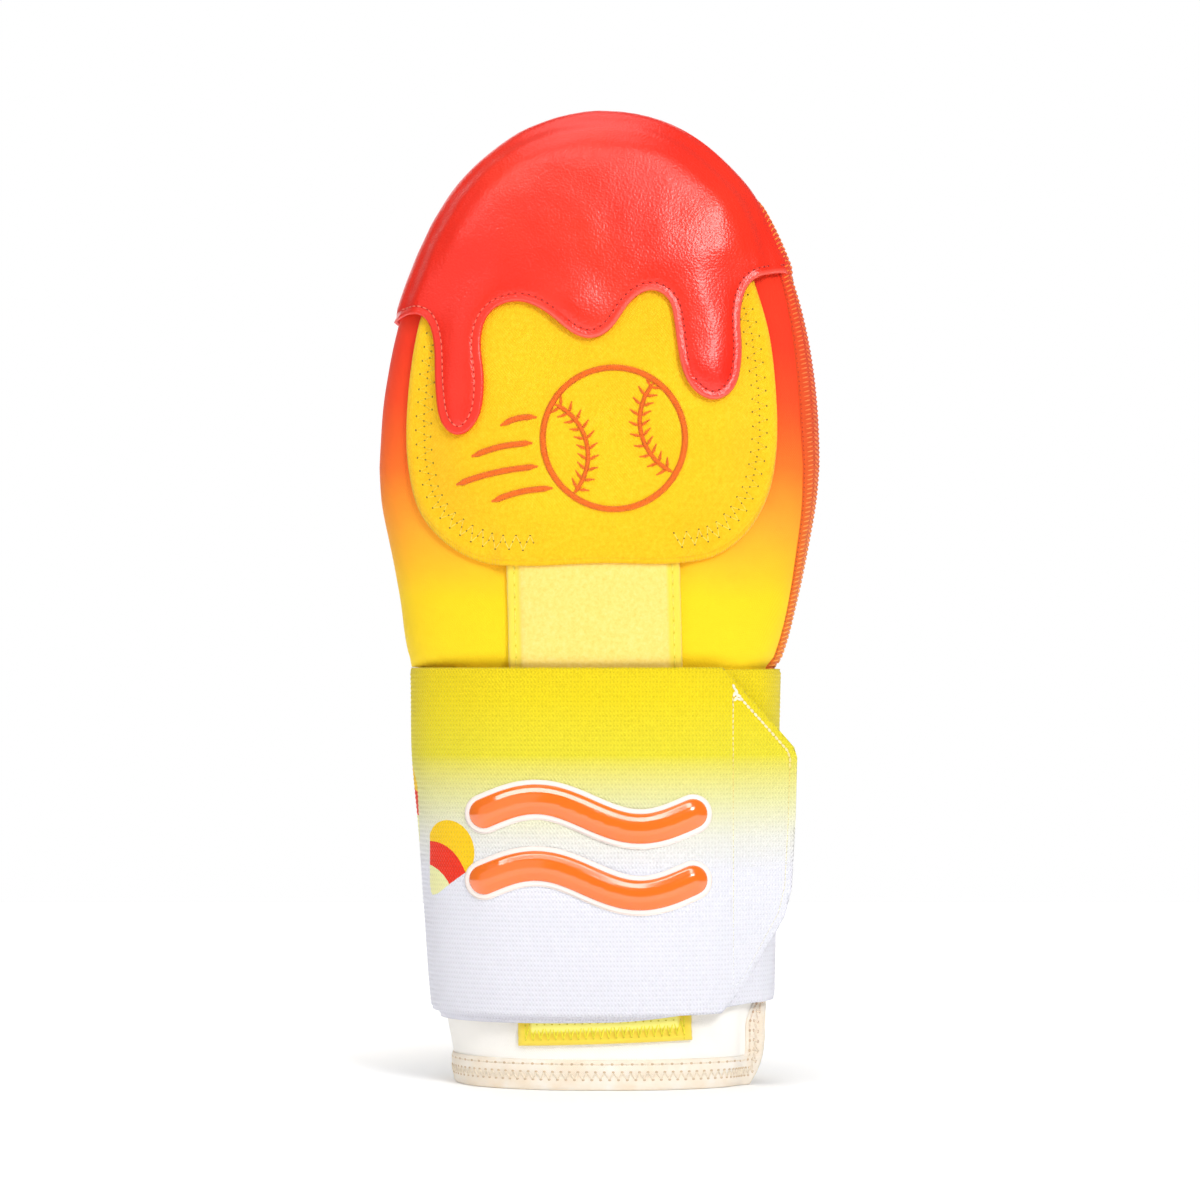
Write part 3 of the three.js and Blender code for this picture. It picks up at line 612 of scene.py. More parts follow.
# %% [markdown]
# ## Hem of the cuff
# A strip of cream cloth is folded over the raw edge of the neoprene, round the mouth and up both edges of
# the slit, and mitred at the two corners. A strip is a grid: one way runs along the edge, the other follows
# the fold from the inner leaf, under the rim and up the outer leaf.

# %% Hem cloth, plain woven
# Cotton twill tape gives a dry cream surface with a fine even weave. The weave is drawn at 0.7 mm, about
# twice as coarse as it is, so that it still shows.
hem_cloth, tree, shader, place = new_material("cream_twill_tape")
mottle = add_node(tree, "ShaderNodeTexNoise", {"Vector": place["Object"], "Scale": 160.0, "Detail": 5.0})
tint = add_node(tree, "ShaderNodeValToRGB", {"Fac": mottle},
                stops=[(0.3, "#FCEBD4"), (0.55, "#FFF4E4"), (0.75, "#FFFAF2")])
weave = knit_height(tree, place["UV"], 0.7, 0.7, mottle)
bump = add_node(tree, "ShaderNodeBump", {"Height": weave, "Strength": 0.5, "Distance": 0.00015})
set_inputs(shader, {"Base Color": tint, "Normal": bump, "Roughness": 0.85, "Sheen Weight": 0.2})
print("Hem material with", len(tree.nodes), "nodes")

# %% Fold the strip over the edge
HEM_WIDTH, HEM_CLOTH, HEM_UP = 8.5, 0.7, 90.0
HEM_PITCH, HEM_SKIN, HEM_RIPPLE = 1.7, 0.6, 0.14
HEM_LEAF = GAP + HEM_CLOTH
HEM_LENGTH = HEM_UP + ROUND + HEM_UP
# The folded strip in section: how far each row lies from the edge, and how high it stands over the shell
HEM_LINE = np.array([
    (8.5, -SHELL_WALL - HEM_LEAF), (5.5, -SHELL_WALL - HEM_LEAF), (2.5, -SHELL_WALL - HEM_LEAF),
    (0.9, -SHELL_WALL - HEM_LEAF), (0.3, -SHELL_WALL - 0.7), (0.04, -SHELL_WALL - 0.2), (0.0, -2.6),
    (0.0, -1.2), (0.04, -0.1), (0.3, 0.62), (0.9, 0.96), (2.2, 1.02), (3.6, 0.98), (4.3, 0.78), (5.0, 0.96),
    (6.0, 0.98), (7.0, 0.86), (7.5, 0.62), (8.0, 0.62), (8.5, 0.42), (8.9, 0.12),
])


def hem_place(along, width):
    """Places of the hem on the shell's rectangle: down one edge, round the mouth and up the other edge."""
    rise = np.where(along < HEM_UP, HEM_UP - along, np.maximum(along - HEM_UP - ROUND, 0))
    across = np.clip(along - HEM_UP, 0, ROUND)
    return width + across * (1 - 2 * width / ROUND), width + rise * (1 - width / HEM_UP)


hem_rows = len(HEM_LINE) - 1
bm = flat_sheet(round(HEM_LENGTH / HEM_PITCH), hem_rows, (HEM_LENGTH, hem_rows))
along, row = pattern_points(bm)
row = np.round(row).astype(int)
width, lift = HEM_LINE[row].T
across, height = hem_place(along, width)
ripple = np.array([noise.noise((a / 9, w / 30, 3.0)) for a, w in zip(along, width)])
points = lay_sheet(across, height, lift + HEM_RIPPLE * ripple * (lift > 0.5))
points[:, 2] = np.maximum(points[:, 2], 0)
keep_uv(bm, along, width * np.sign(lift + SHELL_WALL / 2))
set_points(bm, points)
hem = finish_piece(bm, "cuff_hem_cloth", hem_cloth, ["cuff_hem"], skin=HEM_SKIN)

# %% [markdown]
# ## Padded panel
# A knit cover over foam protects the knuckles. Its edge is sewn flat and its middle stands up by 4.6 mm. A
# cloth simulation can blow such a cover up and give it creases of its own, but the one that was tried here
# moved none of its points, for a cause that wasn't found. So the crown, the channel of the sewing and its
# puckers are worked out from the depth inside the edge.

# %% Brushed knit
# A brushed polyester knit is matt and velvety. The raised fibres catch light at a grazing angle, so it has
# sheen, and the fine columns of the knit are drawn at 0.9 mm.
knit_cloth, tree, shader, place = new_material("brushed_polyester_knit")
mottle = add_node(tree, "ShaderNodeTexNoise", {"Vector": place["Object"], "Scale": 900.0, "Detail": 6.0,
                                               "Roughness": 0.7})
shade = add_node(tree, "ShaderNodeTexNoise", {"Vector": place["Object"], "Scale": 28.0, "Detail": 2.0})
tint = add_node(tree, "ShaderNodeValToRGB", {"Fac": mottle},
                stops=[(0.3, "#F3BE0D"), (0.5, "#FCC918"), (0.7, "#FDD22B")])
warm = add_node(tree, "ShaderNodeValToRGB", {"Fac": shade}, stops=[(0.3, "#FFF2DC"), (0.7, "#FFFFFF")])
blend = add_node(tree, "ShaderNodeMix", {0: 1.0, MIX_FROM: tint, MIX_TO: warm},
                 data_type="RGBA", blend_type="MULTIPLY")
knit = knit_height(tree, place["UV"], 1.1, 0.9, mottle)
bump = add_node(tree, "ShaderNodeBump", {"Height": knit, "Strength": 0.45, "Distance": 0.00016})
set_inputs(shader, {"Base Color": blend, "Normal": bump, "Roughness": 0.9, "Sheen Weight": 0.2,
                    "Sheen Roughness": 0.5})
print("Knit material with", len(tree.nodes), "nodes")

# %% The panel's outline and the height of its padding
PAD_OUTLINE = [
    (0, 276.5), (16, 274), (30, 264.5), (40.5, 250), (45, 234), (49.2, 219), (51.3, 200), (51.3, 186),
    (48.8, 173), (42.5, 162), (33.5, 155.3), (22, 153), (0, 153), (-22, 152.2), (-34, 153.3), (-44.5, 158.8),
    (-52.3, 168), (-55.8, 181), (-56.2, 197), (-53, 221), (-47.5, 237), (-41, 251), (-30, 265), (-15, 274),
]
PAD_EDGE, PAD_FULL, CROWN_START, CROWN_END = 1.9, 4.6, 5.0, 18.0
PATCH_THICK, PATCH_HALF = 1.3, 25.0
PATCH_TOP, PATCH_FOOT = (-2.2, 159.0), (1.5, 13.5)
pad_edge = smooth_line(PAD_OUTLINE, 1.1, closed=True)
pad_coarse = smooth_line(PAD_OUTLINE, 4.0, closed=True)


def patch_middle(z):
    """Where the middle of the loop tape is at a height."""
    return np.interp(z, [PATCH_FOOT[1], PATCH_TOP[1]], [PATCH_FOOT[0], PATCH_TOP[0]])


def pad_rise(x, z):
    """How high the padding stands: thin at its sewn edge and full in its middle."""
    depth = depth_inside(pad_coarse, x, z)
    return PAD_EDGE + (PAD_FULL - PAD_EDGE) * smoothstep(depth, CROWN_START, CROWN_END)


def pad_lift(x, z):
    """Height of the panel's face over the form. It steps up a little where it covers the loop tape."""
    beside = 1 - smoothstep(np.abs(x - patch_middle(z)), PATCH_HALF, PATCH_HALF + 5)
    above = 1 - smoothstep(z, PATCH_TOP[1], PATCH_TOP[1] + 6)
    return pad_rise(x, z) + (GAP + PATCH_THICK) * beside * above


# %% Cut the panel and lay it over its padding
PAD_GRID, PAD_SKIN, PAD_ROLL, SEW_INSET, SEW_WIDE, SEW_DEEP = 1.5, 1.6, 0.6, 3.0, 5.0, 0.35
PUCKER, PUCKER_SIZE = 0.16, 3.1
bm = cut_panel(pad_edge, [0.3, 0.4, 0.6, 0.8, 0.9, 1.0], (PAD_GRID, PAD_GRID))
x, z = pattern_points(bm)
depth = depth_inside(pad_edge, x, z)
channel = np.exp(-((depth - SEW_INSET - SEW_WIDE / 2) / (SEW_WIDE / 2.2)) ** 2)
roll = PAD_ROLL * (1 - smoothstep(depth, 0.0, 1.5)) ** 2
puckers = np.array([noise.noise((a / PUCKER_SIZE, b / PUCKER_SIZE, 7.0)) for a, b in zip(x, z)])
keep_uv(bm, x, z)


def sewn_pad_lift(foot_x, foot_z):
    """Height of the cover: the padding, less its rolled edge and the puckered channel of the sewing."""
    return pad_lift(foot_x, foot_z) - roll - SEW_DEEP * channel + PUCKER * puckers * channel


set_points(bm, lay_front(x, z, sewn_pad_lift))
pad = finish_piece(bm, "hand_pad_cover", knit_cloth, ["hand_pad"], skin=PAD_SKIN)

# %% [markdown]
# ## Loop tape
# A 50 mm loop tape runs down the wrist for the strap to stick to. It is a flat strip with cut, slightly
# furry edges, sewn down near both edges. Its loops are far too fine to model, so they are a soft bump.

# %% Loop tape, a napped nylon
# Napped nylon loops scatter light all ways: a pale, matt, slightly mottled yellow. The nap is drawn at
# 1.2 mm, as the tufts clump to about that size. The woven margin has no nap and is a stronger yellow.
loop_nylon, tree, shader, place = new_material("napped_nylon_loop_tape")
nap = add_node(tree, "ShaderNodeTexNoise", {"Vector": place["Object"], "Scale": 820.0, "Detail": 5.0,
                                            "Roughness": 0.75})
height = add_node(tree, "ShaderNodeSeparateXYZ", {"Vector": place["Object"]}).outputs["Z"]
tint = add_node(tree, "ShaderNodeValToRGB", {"Fac": nap},
                stops=[(0.3, "#F2D05C"), (0.5, "#F9DC70"), (0.7, "#FCE286")])
low = add_node(tree, "ShaderNodeMapRange", {"Value": height, "From Min": 0.016, "From Max": 0.06})
pile = add_node(tree, "ShaderNodeMix", {0: low, MIX_FROM: "#FFF882", MIX_TO: tint}, data_type="RGBA")
napped = add_node(tree, "ShaderNodeAttribute", attribute_name="nap").outputs["Fac"]
woven = add_node(tree, "ShaderNodeMix", {0: napped, MIX_FROM: "#F8DC48", MIX_TO: pile}, data_type="RGBA")
bump = add_node(tree, "ShaderNodeBump", {"Height": nap, "Strength": 0.6, "Distance": 0.0003})
set_inputs(shader, {"Base Color": woven, "Normal": bump, "Roughness": 0.95, "Sheen Weight": 0.4,
                    "Sheen Roughness": 0.6})
print("Loop tape material with", len(tree.nodes), "nodes")

# %% Lay the tape down the wrist
PATCH_SKIN, SELVAGE = 1.1, 3.4
PILE_HIGH, PILE_UNEVEN, FRAYED, TUFT_SIZE = 0.4, 0.12, 0.18, 1.3
TAPE_EDGE = np.array([0.0, 0.25, 0.6, 1.4, 2.3, 3.3, 3.75, 4.2])
FOOT_SLANT = 0.035


def edged_stops(length, pitch=1.8):
    """Places along a length: close together near both ends, where the cut edge and the selvage are."""
    inner = np.linspace(TAPE_EDGE[-1], length - TAPE_EDGE[-1], round(length / pitch))
    return np.concatenate([TAPE_EDGE, inner[1:-1], length - TAPE_EDGE[::-1]])


columns = edged_stops(2 * PATCH_HALF)
rows = edged_stops(PATCH_TOP[1] - PATCH_FOOT[1])
bm = flat_sheet(len(columns) - 1, len(rows) - 1, (len(columns) - 1, len(rows) - 1))
x, z = pattern_points(bm)
x, z = columns[np.round(x).astype(int)], rows[np.round(z).astype(int)]
depth = np.minimum(np.minimum(x, columns[-1] - x), np.minimum(z, rows[-1] - z))
z = z + PATCH_FOOT[1] + FOOT_SLANT * (x - PATCH_HALF) * (1 - z / rows[-1])
x = x - PATCH_HALF + patch_middle(z)
keep_uv(bm, x, z)
fur = np.array([noise.noise((a / TUFT_SIZE, b / TUFT_SIZE, 0.0)) for a, b in zip(x, z)])
sunk = 0.5 * (1 - smoothstep(depth, 0.0, 0.7)) + 0.3 * np.exp(-((depth - 2.6) / 0.8) ** 2)
frayed_x = x + FRAYED * fur * (depth < 0.1)
pile_here = smoothstep(depth, SELVAGE, SELVAGE + 0.7)
keep_mark(bm, "nap", pile_here)
tape_lift = GAP + PATCH_THICK - sunk + (PILE_HIGH + PILE_UNEVEN * fur) * pile_here
set_points(bm, lay_front(frayed_x, z, lambda foot_x, foot_z: tape_lift))
tape = finish_piece(bm, "loop_tape_panel", loop_nylon, ["loop_patch"], skin=PATCH_SKIN)

# %% [markdown]
# ## Fingertip cap
# The cap is coated leather, cut with a dripping edge in front and a plain curved edge behind, and stretched
# over the fingertips and the top of the pad. Its pattern is drawn unrolled, as turn against height, so one
# panel goes all the way round and closes at the left side and at the tip.

# %% Coated leather
# Leather with a sprayed, embossed coat has small rounded pebbles and a soft gloss, so highlights break up
# into a fine sparkle. The pebbles are drawn at 0.6 mm. Where the cut edge is rolled the coat is painted a
# paler pink: partly the edge's own paler tone, partly a painted highlight, which is weaker on the left side.
PEBBLE_MM = 0.6
leather, tree, shader, place = new_material("pebbled_coated_leather", gloss=0.62)
pebble = add_node(tree, "ShaderNodeTexVoronoi", {"Vector": place["Object"], "Scale": 1 / (PEBBLE_MM * MM)},
                  feature="SMOOTH_F1")
wrinkle = add_node(tree, "ShaderNodeTexNoise", {"Vector": place["Object"], "Scale": 130.0, "Detail": 4.0})
relief = add_node(tree, "ShaderNodeMath", {0: wrinkle, 1: 0.25, 2: pebble}, operation="MULTIPLY_ADD")
bump = add_node(tree, "ShaderNodeBump", {"Height": relief, "Strength": 0.34, "Distance": 0.0003}, invert=True)
shade = add_node(tree, "ShaderNodeTexNoise", {"Vector": place["Object"], "Scale": 22.0, "Detail": 3.0})
coat = add_node(tree, "ShaderNodeValToRGB", {"Fac": shade},
                stops=[(0.3, "#F2200A"), (0.55, "#F82A10"), (0.75, "#FE3416")])
edge_depth = add_node(tree, "ShaderNodeAttribute", attribute_name="edge_depth").outputs["Fac"]
side = add_node(tree, "ShaderNodeSeparateXYZ", {"Vector": place["Object"]}).outputs["X"]
# The rolled edge's pale pink is partly its own tone and partly a painted highlight, less on the left side
edge_pale_and_highlight_by_side = add_node(tree, "ShaderNodeMapRange", {"Value": side, "From Min": -0.034, "From Max": -0.01,
                                              "To Min": 0.08, "To Max": 0.42})
pale_edge_and_highlight = add_node(tree, "ShaderNodeMapRange", {"Value": edge_depth, "From Min": 0.5, "From Max": 1.5,
                                               "To Min": edge_pale_and_highlight_by_side, "To Max": 0.0})
colour = add_node(tree, "ShaderNodeMix", {0: pale_edge_and_highlight, MIX_FROM: coat, MIX_TO: "#F67E70"}, data_type="RGBA")
uneven = add_node(tree, "ShaderNodeMapRange", {"Value": wrinkle, "To Min": 0.3, "To Max": 0.36})
set_inputs(shader, {"Base Color": colour, "Normal": bump, "Roughness": uneven})
print("Leather material with", len(tree.nodes), "nodes")

# %% The cap's edges, as they are seen from the front and the back
DRIP_EDGE = [
    (-62, 223), (-57, 224.6), (-51.5, 224.2), (-48.7, 217.4), (-47.9, 202), (-45.9, 191.3), (-40.8, 187.8),
    (-35.2, 192.8), (-33.5, 204), (-34.6, 217), (-31.7, 224.8), (-23.5, 227.6), (-16, 224.4), (-8, 217.8),
    (-2.4, 216), (3.6, 219.4), (8.1, 226.5), (14.2, 231), (19.8, 228.6), (21.8, 219), (23.6, 207.5),
    (27, 201.2), (33.2, 198.2), (38.8, 201.6), (41.2, 211), (41, 226), (44.2, 234.3), (52.3, 236.7),
    (62, 238),
]
BACK_EDGE = [(62, 238), (50, 231), (25, 216), (0, 211), (-25, 212), (-48, 220), (-62, 223)]
CAP_SKIN, BRIDGE_START, BRIDGE_END = 1.3, -5.0, -0.2
CAP_SIDE, CAP_ABOVE = 80.0, 330.0
STRETCH_LOW, STRETCH_HIGH, STRETCH_FALL = 228.0, 246.0, 6.5
EASING = 10


def eased(line):
    """A line with its sharpest bends eased, so that rows inset from it can't cross."""
    line = line.copy()
    for _ in range(EASING):
        line[1:-1] = (line[:-2] + 2 * line[1:-1] + line[2:]) / 4
    return line


drip_line = eased(smooth_line(DRIP_EDGE, 1.1))
back_line = eased(smooth_line(BACK_EDGE, 1.1))
front_zone = np.vstack([(-CAP_SIDE, DRIP_EDGE[0][1]), drip_line, (CAP_SIDE, DRIP_EDGE[-1][1]),
                        (CAP_SIDE, CAP_ABOVE), (-CAP_SIDE, CAP_ABOVE)])
back_zone = np.vstack([(CAP_SIDE, BACK_EDGE[0][1]), back_line, (-CAP_SIDE, BACK_EDGE[-1][1]),
                       (-CAP_SIDE, CAP_ABOVE), (CAP_SIDE, CAP_ABOVE)])


def cap_rise(x, z, in_front):
    """How far the cap stands off the shell, where it bridges on to the padding."""
    depth = depth_inside(pad_coarse, x, z)
    over = smoothstep(depth, BRIDGE_START, BRIDGE_END)
    crown = smoothstep(depth, CROWN_START, CROWN_END)
    stretched = 1 - np.exp(-np.maximum(depth, 0) / STRETCH_FALL)
    crown = crown + (stretched - crown) * smoothstep(z, STRETCH_LOW, STRETCH_HIGH)
    return np.where(in_front, over * (PAD_EDGE + (PAD_FULL - PAD_EDGE) * crown + GAP), 0.0)


# %% Unroll the edges
def turns_at(level, value, start, end, axis):
    """The turn, from start to end, at which each section reaches a value of x or y."""
    turns = np.linspace(start, end, 361)
    found = []
    for one_level, wanted in zip(level, value):
        line = look_up(FORM, np.full(len(turns), one_level), turns)[:, axis]
        order = np.argsort(line)
        found.append(np.interp(wanted, line[order], turns[order]))
    return np.array(found)


def unrolled(line, start, in_front):
    """A cap edge as turn and height on the unrolled form, between the two side lines."""
    foot_x, foot_z = line[:, 0], line[:, 1]
    if in_front:
        foot_x, foot_z, _, _ = foot_of(foot_x, foot_z, lambda a, b: GAP + CAP_SKIN + cap_rise(a, b, True))
    level = level_of(foot_z)
    s = section_at(level)
    seen = np.abs(foot_x - s["middle"]) < s["half"] - 0.5
    turn = turns_at(level[seen], foot_x[seen], start, start + 0.5, 0)
    return np.column_stack([turn * ROUND, np.interp(level[seen], LEVELS, HEIGHTS)])


front_part = unrolled(drip_line, 0.5, True)
back_part = unrolled(back_line, 1.0, False)
left_height = (front_part[0, 1] + back_part[-1, 1]) / 2
right_height = (front_part[-1, 1] + back_part[0, 1]) / 2
LEFT_X, RIGHT_X, BEYOND = 0.5 * ROUND, 1.5 * ROUND, 14.0
cap_edge = np.vstack([
    (LEFT_X - BEYOND, left_height), (LEFT_X, left_height), front_part, (ROUND, right_height), back_part,
    (RIGHT_X, left_height), (RIGHT_X + BEYOND, left_height), (RIGHT_X + BEYOND, TOP + BEYOND),
    (LEFT_X - BEYOND, TOP + BEYOND),
])
print("The cap's edge has", len(cap_edge), "points")

# %% Cut the cap and close it round the fingertips
STITCH_INSET, CAP_GRID, CAP_WALL, CAP_ROLL, SEWN_IN, PILLOW = 2.3, 1.3, 1.2, 0.6, 0.26, 0.7
DENTS, LARGE_DENT, SMALL_DENT, SMALL_SHARE = 0.5, 21.0, 7.0, 0.35
# Places seen from the front where the leather puffs up over the padding, with their width and height
PUFFS = [
    ((38.5, 257.5), 7.5, 1.1), ((36.0, 243.0), 5.0, 0.6), ((-8.0, 226.5), 7.0, 1.3),
    ((28.5, 208.5), 6.0, 1.0), ((51.0, 237.5), 5.5, 1.0),
]
bm = cut_panel(cap_edge, [0.25, 0.35, 0.45, 0.45, 0.4, 0.4, 0.4, 0.4], (CAP_GRID, CAP_GRID))
for at, way, side in (((LEFT_X, 0, 0), (1, 0, 0), "clear_inner"), ((RIGHT_X, 0, 0), (1, 0, 0), "clear_outer"),
                      ((0, 0, TOP), (0, 0, 1), "clear_outer")):
    bmesh.ops.bisect_plane(bm, geom=bm.verts[:] + bm.edges[:] + bm.faces[:], dist=1e-4, plane_co=at,
                           plane_no=way, **{side: True})
x, z = pattern_points(bm)
level = np.interp(z, HEIGHTS, LEVELS)
foot = look_up(FORM, level, x / ROUND)
in_front = foot[:, 1] < 0
lift = GAP + CAP_SKIN + cap_rise(foot[:, 0], foot[:, 2], in_front)
seen = lay_round(level, x / ROUND, lift)
in_drips, in_back = (depth_inside(zone, seen[:, 0], seen[:, 2]) for zone in (front_zone, back_zone))
depth = np.maximum(np.where(in_front, in_drips, in_back), 0)
dents = np.array([noise.noise(Vector(p) / LARGE_DENT) + SMALL_SHARE * noise.noise(Vector(p) / SMALL_DENT)
                  for p in seen])
rolled_edge = CAP_ROLL * (1 - smoothstep(depth, 0, 0.7)) ** 2
sewn_line = SEWN_IN * np.exp(-((depth - STITCH_INSET) / 0.8) ** 2)
far = smoothstep(depth, 2.0, 8.0)
for (puff_x, puff_z), puff_wide, puff_high in PUFFS:
    away = ((seen[:, 0] - puff_x) ** 2 + (seen[:, 2] - puff_z) ** 2) / puff_wide**2
    lift += np.where(in_front, puff_high * np.exp(-away), 0)
pillow = PILLOW * (1 - np.exp(-np.maximum(depth - STITCH_INSET, 0) / 3.5))
padded_here = smoothstep(depth_inside(pad_coarse, seen[:, 0], seen[:, 2]), -5.0, 3.0) * in_front
off_seam = smoothstep(np.abs(x / ROUND - 1), 0.035, 0.06)
lift += DENTS * dents * far * off_seam + pillow * padded_here - rolled_edge - sewn_line
keep_uv(bm, x, z)
keep_mark(bm, "edge_depth", depth)
set_points(bm, lay_round(level, x / ROUND, lift))
bmesh.ops.remove_doubles(bm, verts=bm.verts, dist=0.05 * MM)
cap = finish_piece(bm, "tip_cap_leather", leather, ["tip_cap"], skin=CAP_WALL)

# %% [markdown]
# ## Overlocked side seam
# The two halves of the mitt are joined down the right side by a band of overlock stitching. The band is a
# narrow padded strip, laid by its place seen from the side. It rides up over the cap's edge, and its
# herringbone of thread is sewn on later, with the other stitches.

# %% Seam band, close twisted thread
# Under the loops of thread lies their closely packed underside: a dull band, dyed red at the fingertips and
# orange brown at the wrist, with a faint rib each 1.35 mm. A Wave node repeats each 0.314 of its scaled
# length.
OVERLOCK_PITCH, WAVE_SHARE = 1.35, 0.314
SEAM_DYE = [(125, "#E0701A"), (160, "#E0641C"), (190, "#DE501C"), (235, "#E43E18"), (243, "#EE3418")]
overlock, tree, shader, place = new_material("overlocked_polyester_thread")
parts = add_node(tree, "ShaderNodeSeparateXYZ", {"Vector": place["Object"]})
height = add_node(tree, "ShaderNodeMapRange", {"Value": parts.outputs["Z"], "From Max": DYE_TOP * MM})
dye = add_node(tree, "ShaderNodeValToRGB", {"Fac": height},
               stops=[(z / DYE_TOP, colour) for z, colour in SEAM_DYE])
loops = add_node(tree, "ShaderNodeTexWave", {
    "Vector": place["UV"], "Distortion": 0.6, "Detail": 2.0, "Scale": WAVE_SHARE / (OVERLOCK_PITCH * MM),
}, bands_direction="Y").outputs["Fac"]
fluff = add_node(tree, "ShaderNodeTexNoise", {"Vector": place["Object"], "Scale": 700.0, "Detail": 4.0})
relief = add_node(tree, "ShaderNodeMath", {0: fluff, 1: 0.8, 2: loops}, operation="MULTIPLY_ADD")
bump = add_node(tree, "ShaderNodeBump", {"Height": relief, "Strength": 0.4, "Distance": 0.0002})
set_inputs(shader, {"Base Color": dye, "Normal": bump, "Roughness": 0.7, "Sheen Weight": 0.2})
print("Seam material with", len(tree.nodes), "nodes")

# %% Lay the band down the right side
# Columns: height, front edge and back edge, as places seen from the right
SEAM_EDGES = np.array([
    (93.6, -6.5, 1.0), (125, -7.0, 1.0), (160, -8.6, 1.0), (190, -10.0, 1.0), (237, -7.0, 1.0),
    (261, -3.0, 0.5),
])
SEAM_THICK, SEAM_CLIMB, SEAM_THIN, SEAM_SUNK = 0.8, 1.1, 0.75, 0.4
SEAM_TAPER, SEAM_FADE, SEAM_SKIN, SEAM_WIDTH = 0.8, 6.0, 0.5, 9.5
SEAM_LOW, SEAM_HIGH = SEAM_EDGES[0, 0], SEAM_EDGES[-1, 0]
SEAM_TURNS, SEAM_COLUMNS, SEAM_ROWS = (-0.14, 0.14), 14, 210


def lay_seam(share, z, lift):
    """Points of the seam: a share of its width, from its front edge to its back edge, and a height."""
    front, back = (smooth_column(SEAM_EDGES[:, 0], SEAM_EDGES[:, c], z) for c in (1, 2))
    level = level_of(z)
    turn = turns_at(level, front + (back - front) * share, *SEAM_TURNS, 1)
    return lay_round(level, turn, lift)


def seam_lift(share, z):
    """Height of the band's face. It stands proud of the shell and lies flush in the cap, where it ends."""
    crown = 1 - np.abs(2 * share - 1) ** 4
    proud, flush = (SEAM_THICK + SEAM_SUNK) * crown - SEAM_SUNK, SEAM_CLIMB + SEAM_THIN * crown
    over = smoothstep(z, DRIP_EDGE[-1][1] - 3, DRIP_EDGE[-1][1] + 1)
    taper = SEAM_TAPER * (1 - smoothstep(SEAM_HIGH - z, 0.0, SEAM_FADE))
    return GAP + proud + over * (flush - proud) - taper


bm = flat_sheet(SEAM_COLUMNS, SEAM_ROWS, (1.0, SEAM_HIGH - SEAM_LOW))
share, up = pattern_points(bm)
z = SEAM_LOW + up
keep_uv(bm, share * SEAM_WIDTH, z)
set_points(bm, lay_seam(share, z, seam_lift(share, z)))
seam = finish_piece(bm, "side_seam_overlock", overlock, ["side_seam"], skin=SEAM_SKIN)

# %% [markdown]
# ## Elastic strap
# A 100 mm knitted elastic starts at the left, goes once round the wrist and half round again, and ends in a
# stiff tab with cut corners at the right. It is one long sheet. Its width has a row of faces for each half
# rib, so the ribs are real, and its way round the wrist is the one that the solids follow.

# %% Ribbed elastic with printed sweets
# Knitted elastic shows level ribs of covered rubber, 1.4 mm apart, crossed by the knit's fine columns. It is
# dyed from mustard yellow at the top to a cool white, and candy-corn sweets are printed along its lower half.
SWEET_WIDE, SWEET_TALL, WIDEST, FOOT_WIDE = 17.8, 24.5, 0.62, 0.08
FOOT_ROUND, SOFT_EDGE, BAND_SAG = 0.12, 0.2, 45.0
sweet_group = bpy.data.node_groups.new("candy_corn_print", "ShaderNodeTree")
tree = sweet_group
tree.interface.new_socket("Place", in_out="INPUT", socket_type="NodeSocketVector")
tree.interface.new_socket("Colour", in_out="OUTPUT", socket_type="NodeSocketColor")
tree.interface.new_socket("Inside", in_out="OUTPUT", socket_type="NodeSocketFloat")
local = add_node(tree, "ShaderNodeSeparateXYZ", {"Vector": add_node(tree, "NodeGroupInput")}).outputs
# Half the width grows from the foot to the widest place, and an ellipse rounds off what is beyond each
aside = add_node(tree, "ShaderNodeMath", {0: local["X"]}, operation="ABSOLUTE")
up = add_node(tree, "ShaderNodeMapRange", {"Value": local["Y"], "From Max": SWEET_TALL * MM}, clamp=False)
half = add_node(tree, "ShaderNodeMapRange", {"Value": up, "From Max": WIDEST,
                                             "To Min": FOOT_WIDE * SWEET_WIDE * MM,
                                             "To Max": 0.5 * SWEET_WIDE * MM})
dome = add_node(tree, "ShaderNodeMapRange", {"Value": up, "From Min": WIDEST, "From Max": 1.0})
foot = add_node(tree, "ShaderNodeMapRange", {"Value": up, "From Min": FOOT_ROUND, "From Max": 0.0})
beyond = add_node(tree, "ShaderNodeMath", {0: dome, 1: foot}, operation="MAXIMUM")
squared = add_node(tree, "ShaderNodeMath", {0: beyond, 1: 2.0}, operation="POWER")
left_over = add_node(tree, "ShaderNodeMath", {0: 1.0, 1: squared}, operation="SUBTRACT")
rounded = add_node(tree, "ShaderNodeMath", {0: left_over}, operation="SQRT")
side = add_node(tree, "ShaderNodeMath", {0: half, 1: rounded}, operation="MULTIPLY")
outside = add_node(tree, "ShaderNodeMath", {0: aside, 1: side}, operation="SUBTRACT")
inside = add_node(tree, "ShaderNodeMapRange", {"Value": outside, "From Min": 0.0,
                                               "From Max": -SOFT_EDGE * MM})
# The borders between the three bands of colour sag in the middle
sag = add_node(tree, "ShaderNodeMath", {0: local["X"], 1: local["X"]}, operation="MULTIPLY")
bowed = add_node(tree, "ShaderNodeMath", {0: sag, 1: BAND_SAG / (SWEET_TALL * MM), 2: up},
                 operation="MULTIPLY_ADD")
bands = add_node(tree, "ShaderNodeValToRGB", {"Fac": bowed},
                 stops=[(0.0, "#F6F4B4"), (0.33, "#F43418"), (0.66, "#FFD012")])
bands.color_ramp.interpolation = "CONSTANT"
add_node(tree, "NodeGroupOutput", {"Colour": bands, "Inside": inside})
print("A printed sweet takes", len(tree.nodes), "nodes")

# %% The elastic's dye, weave and print
RIB_MM = 1.4
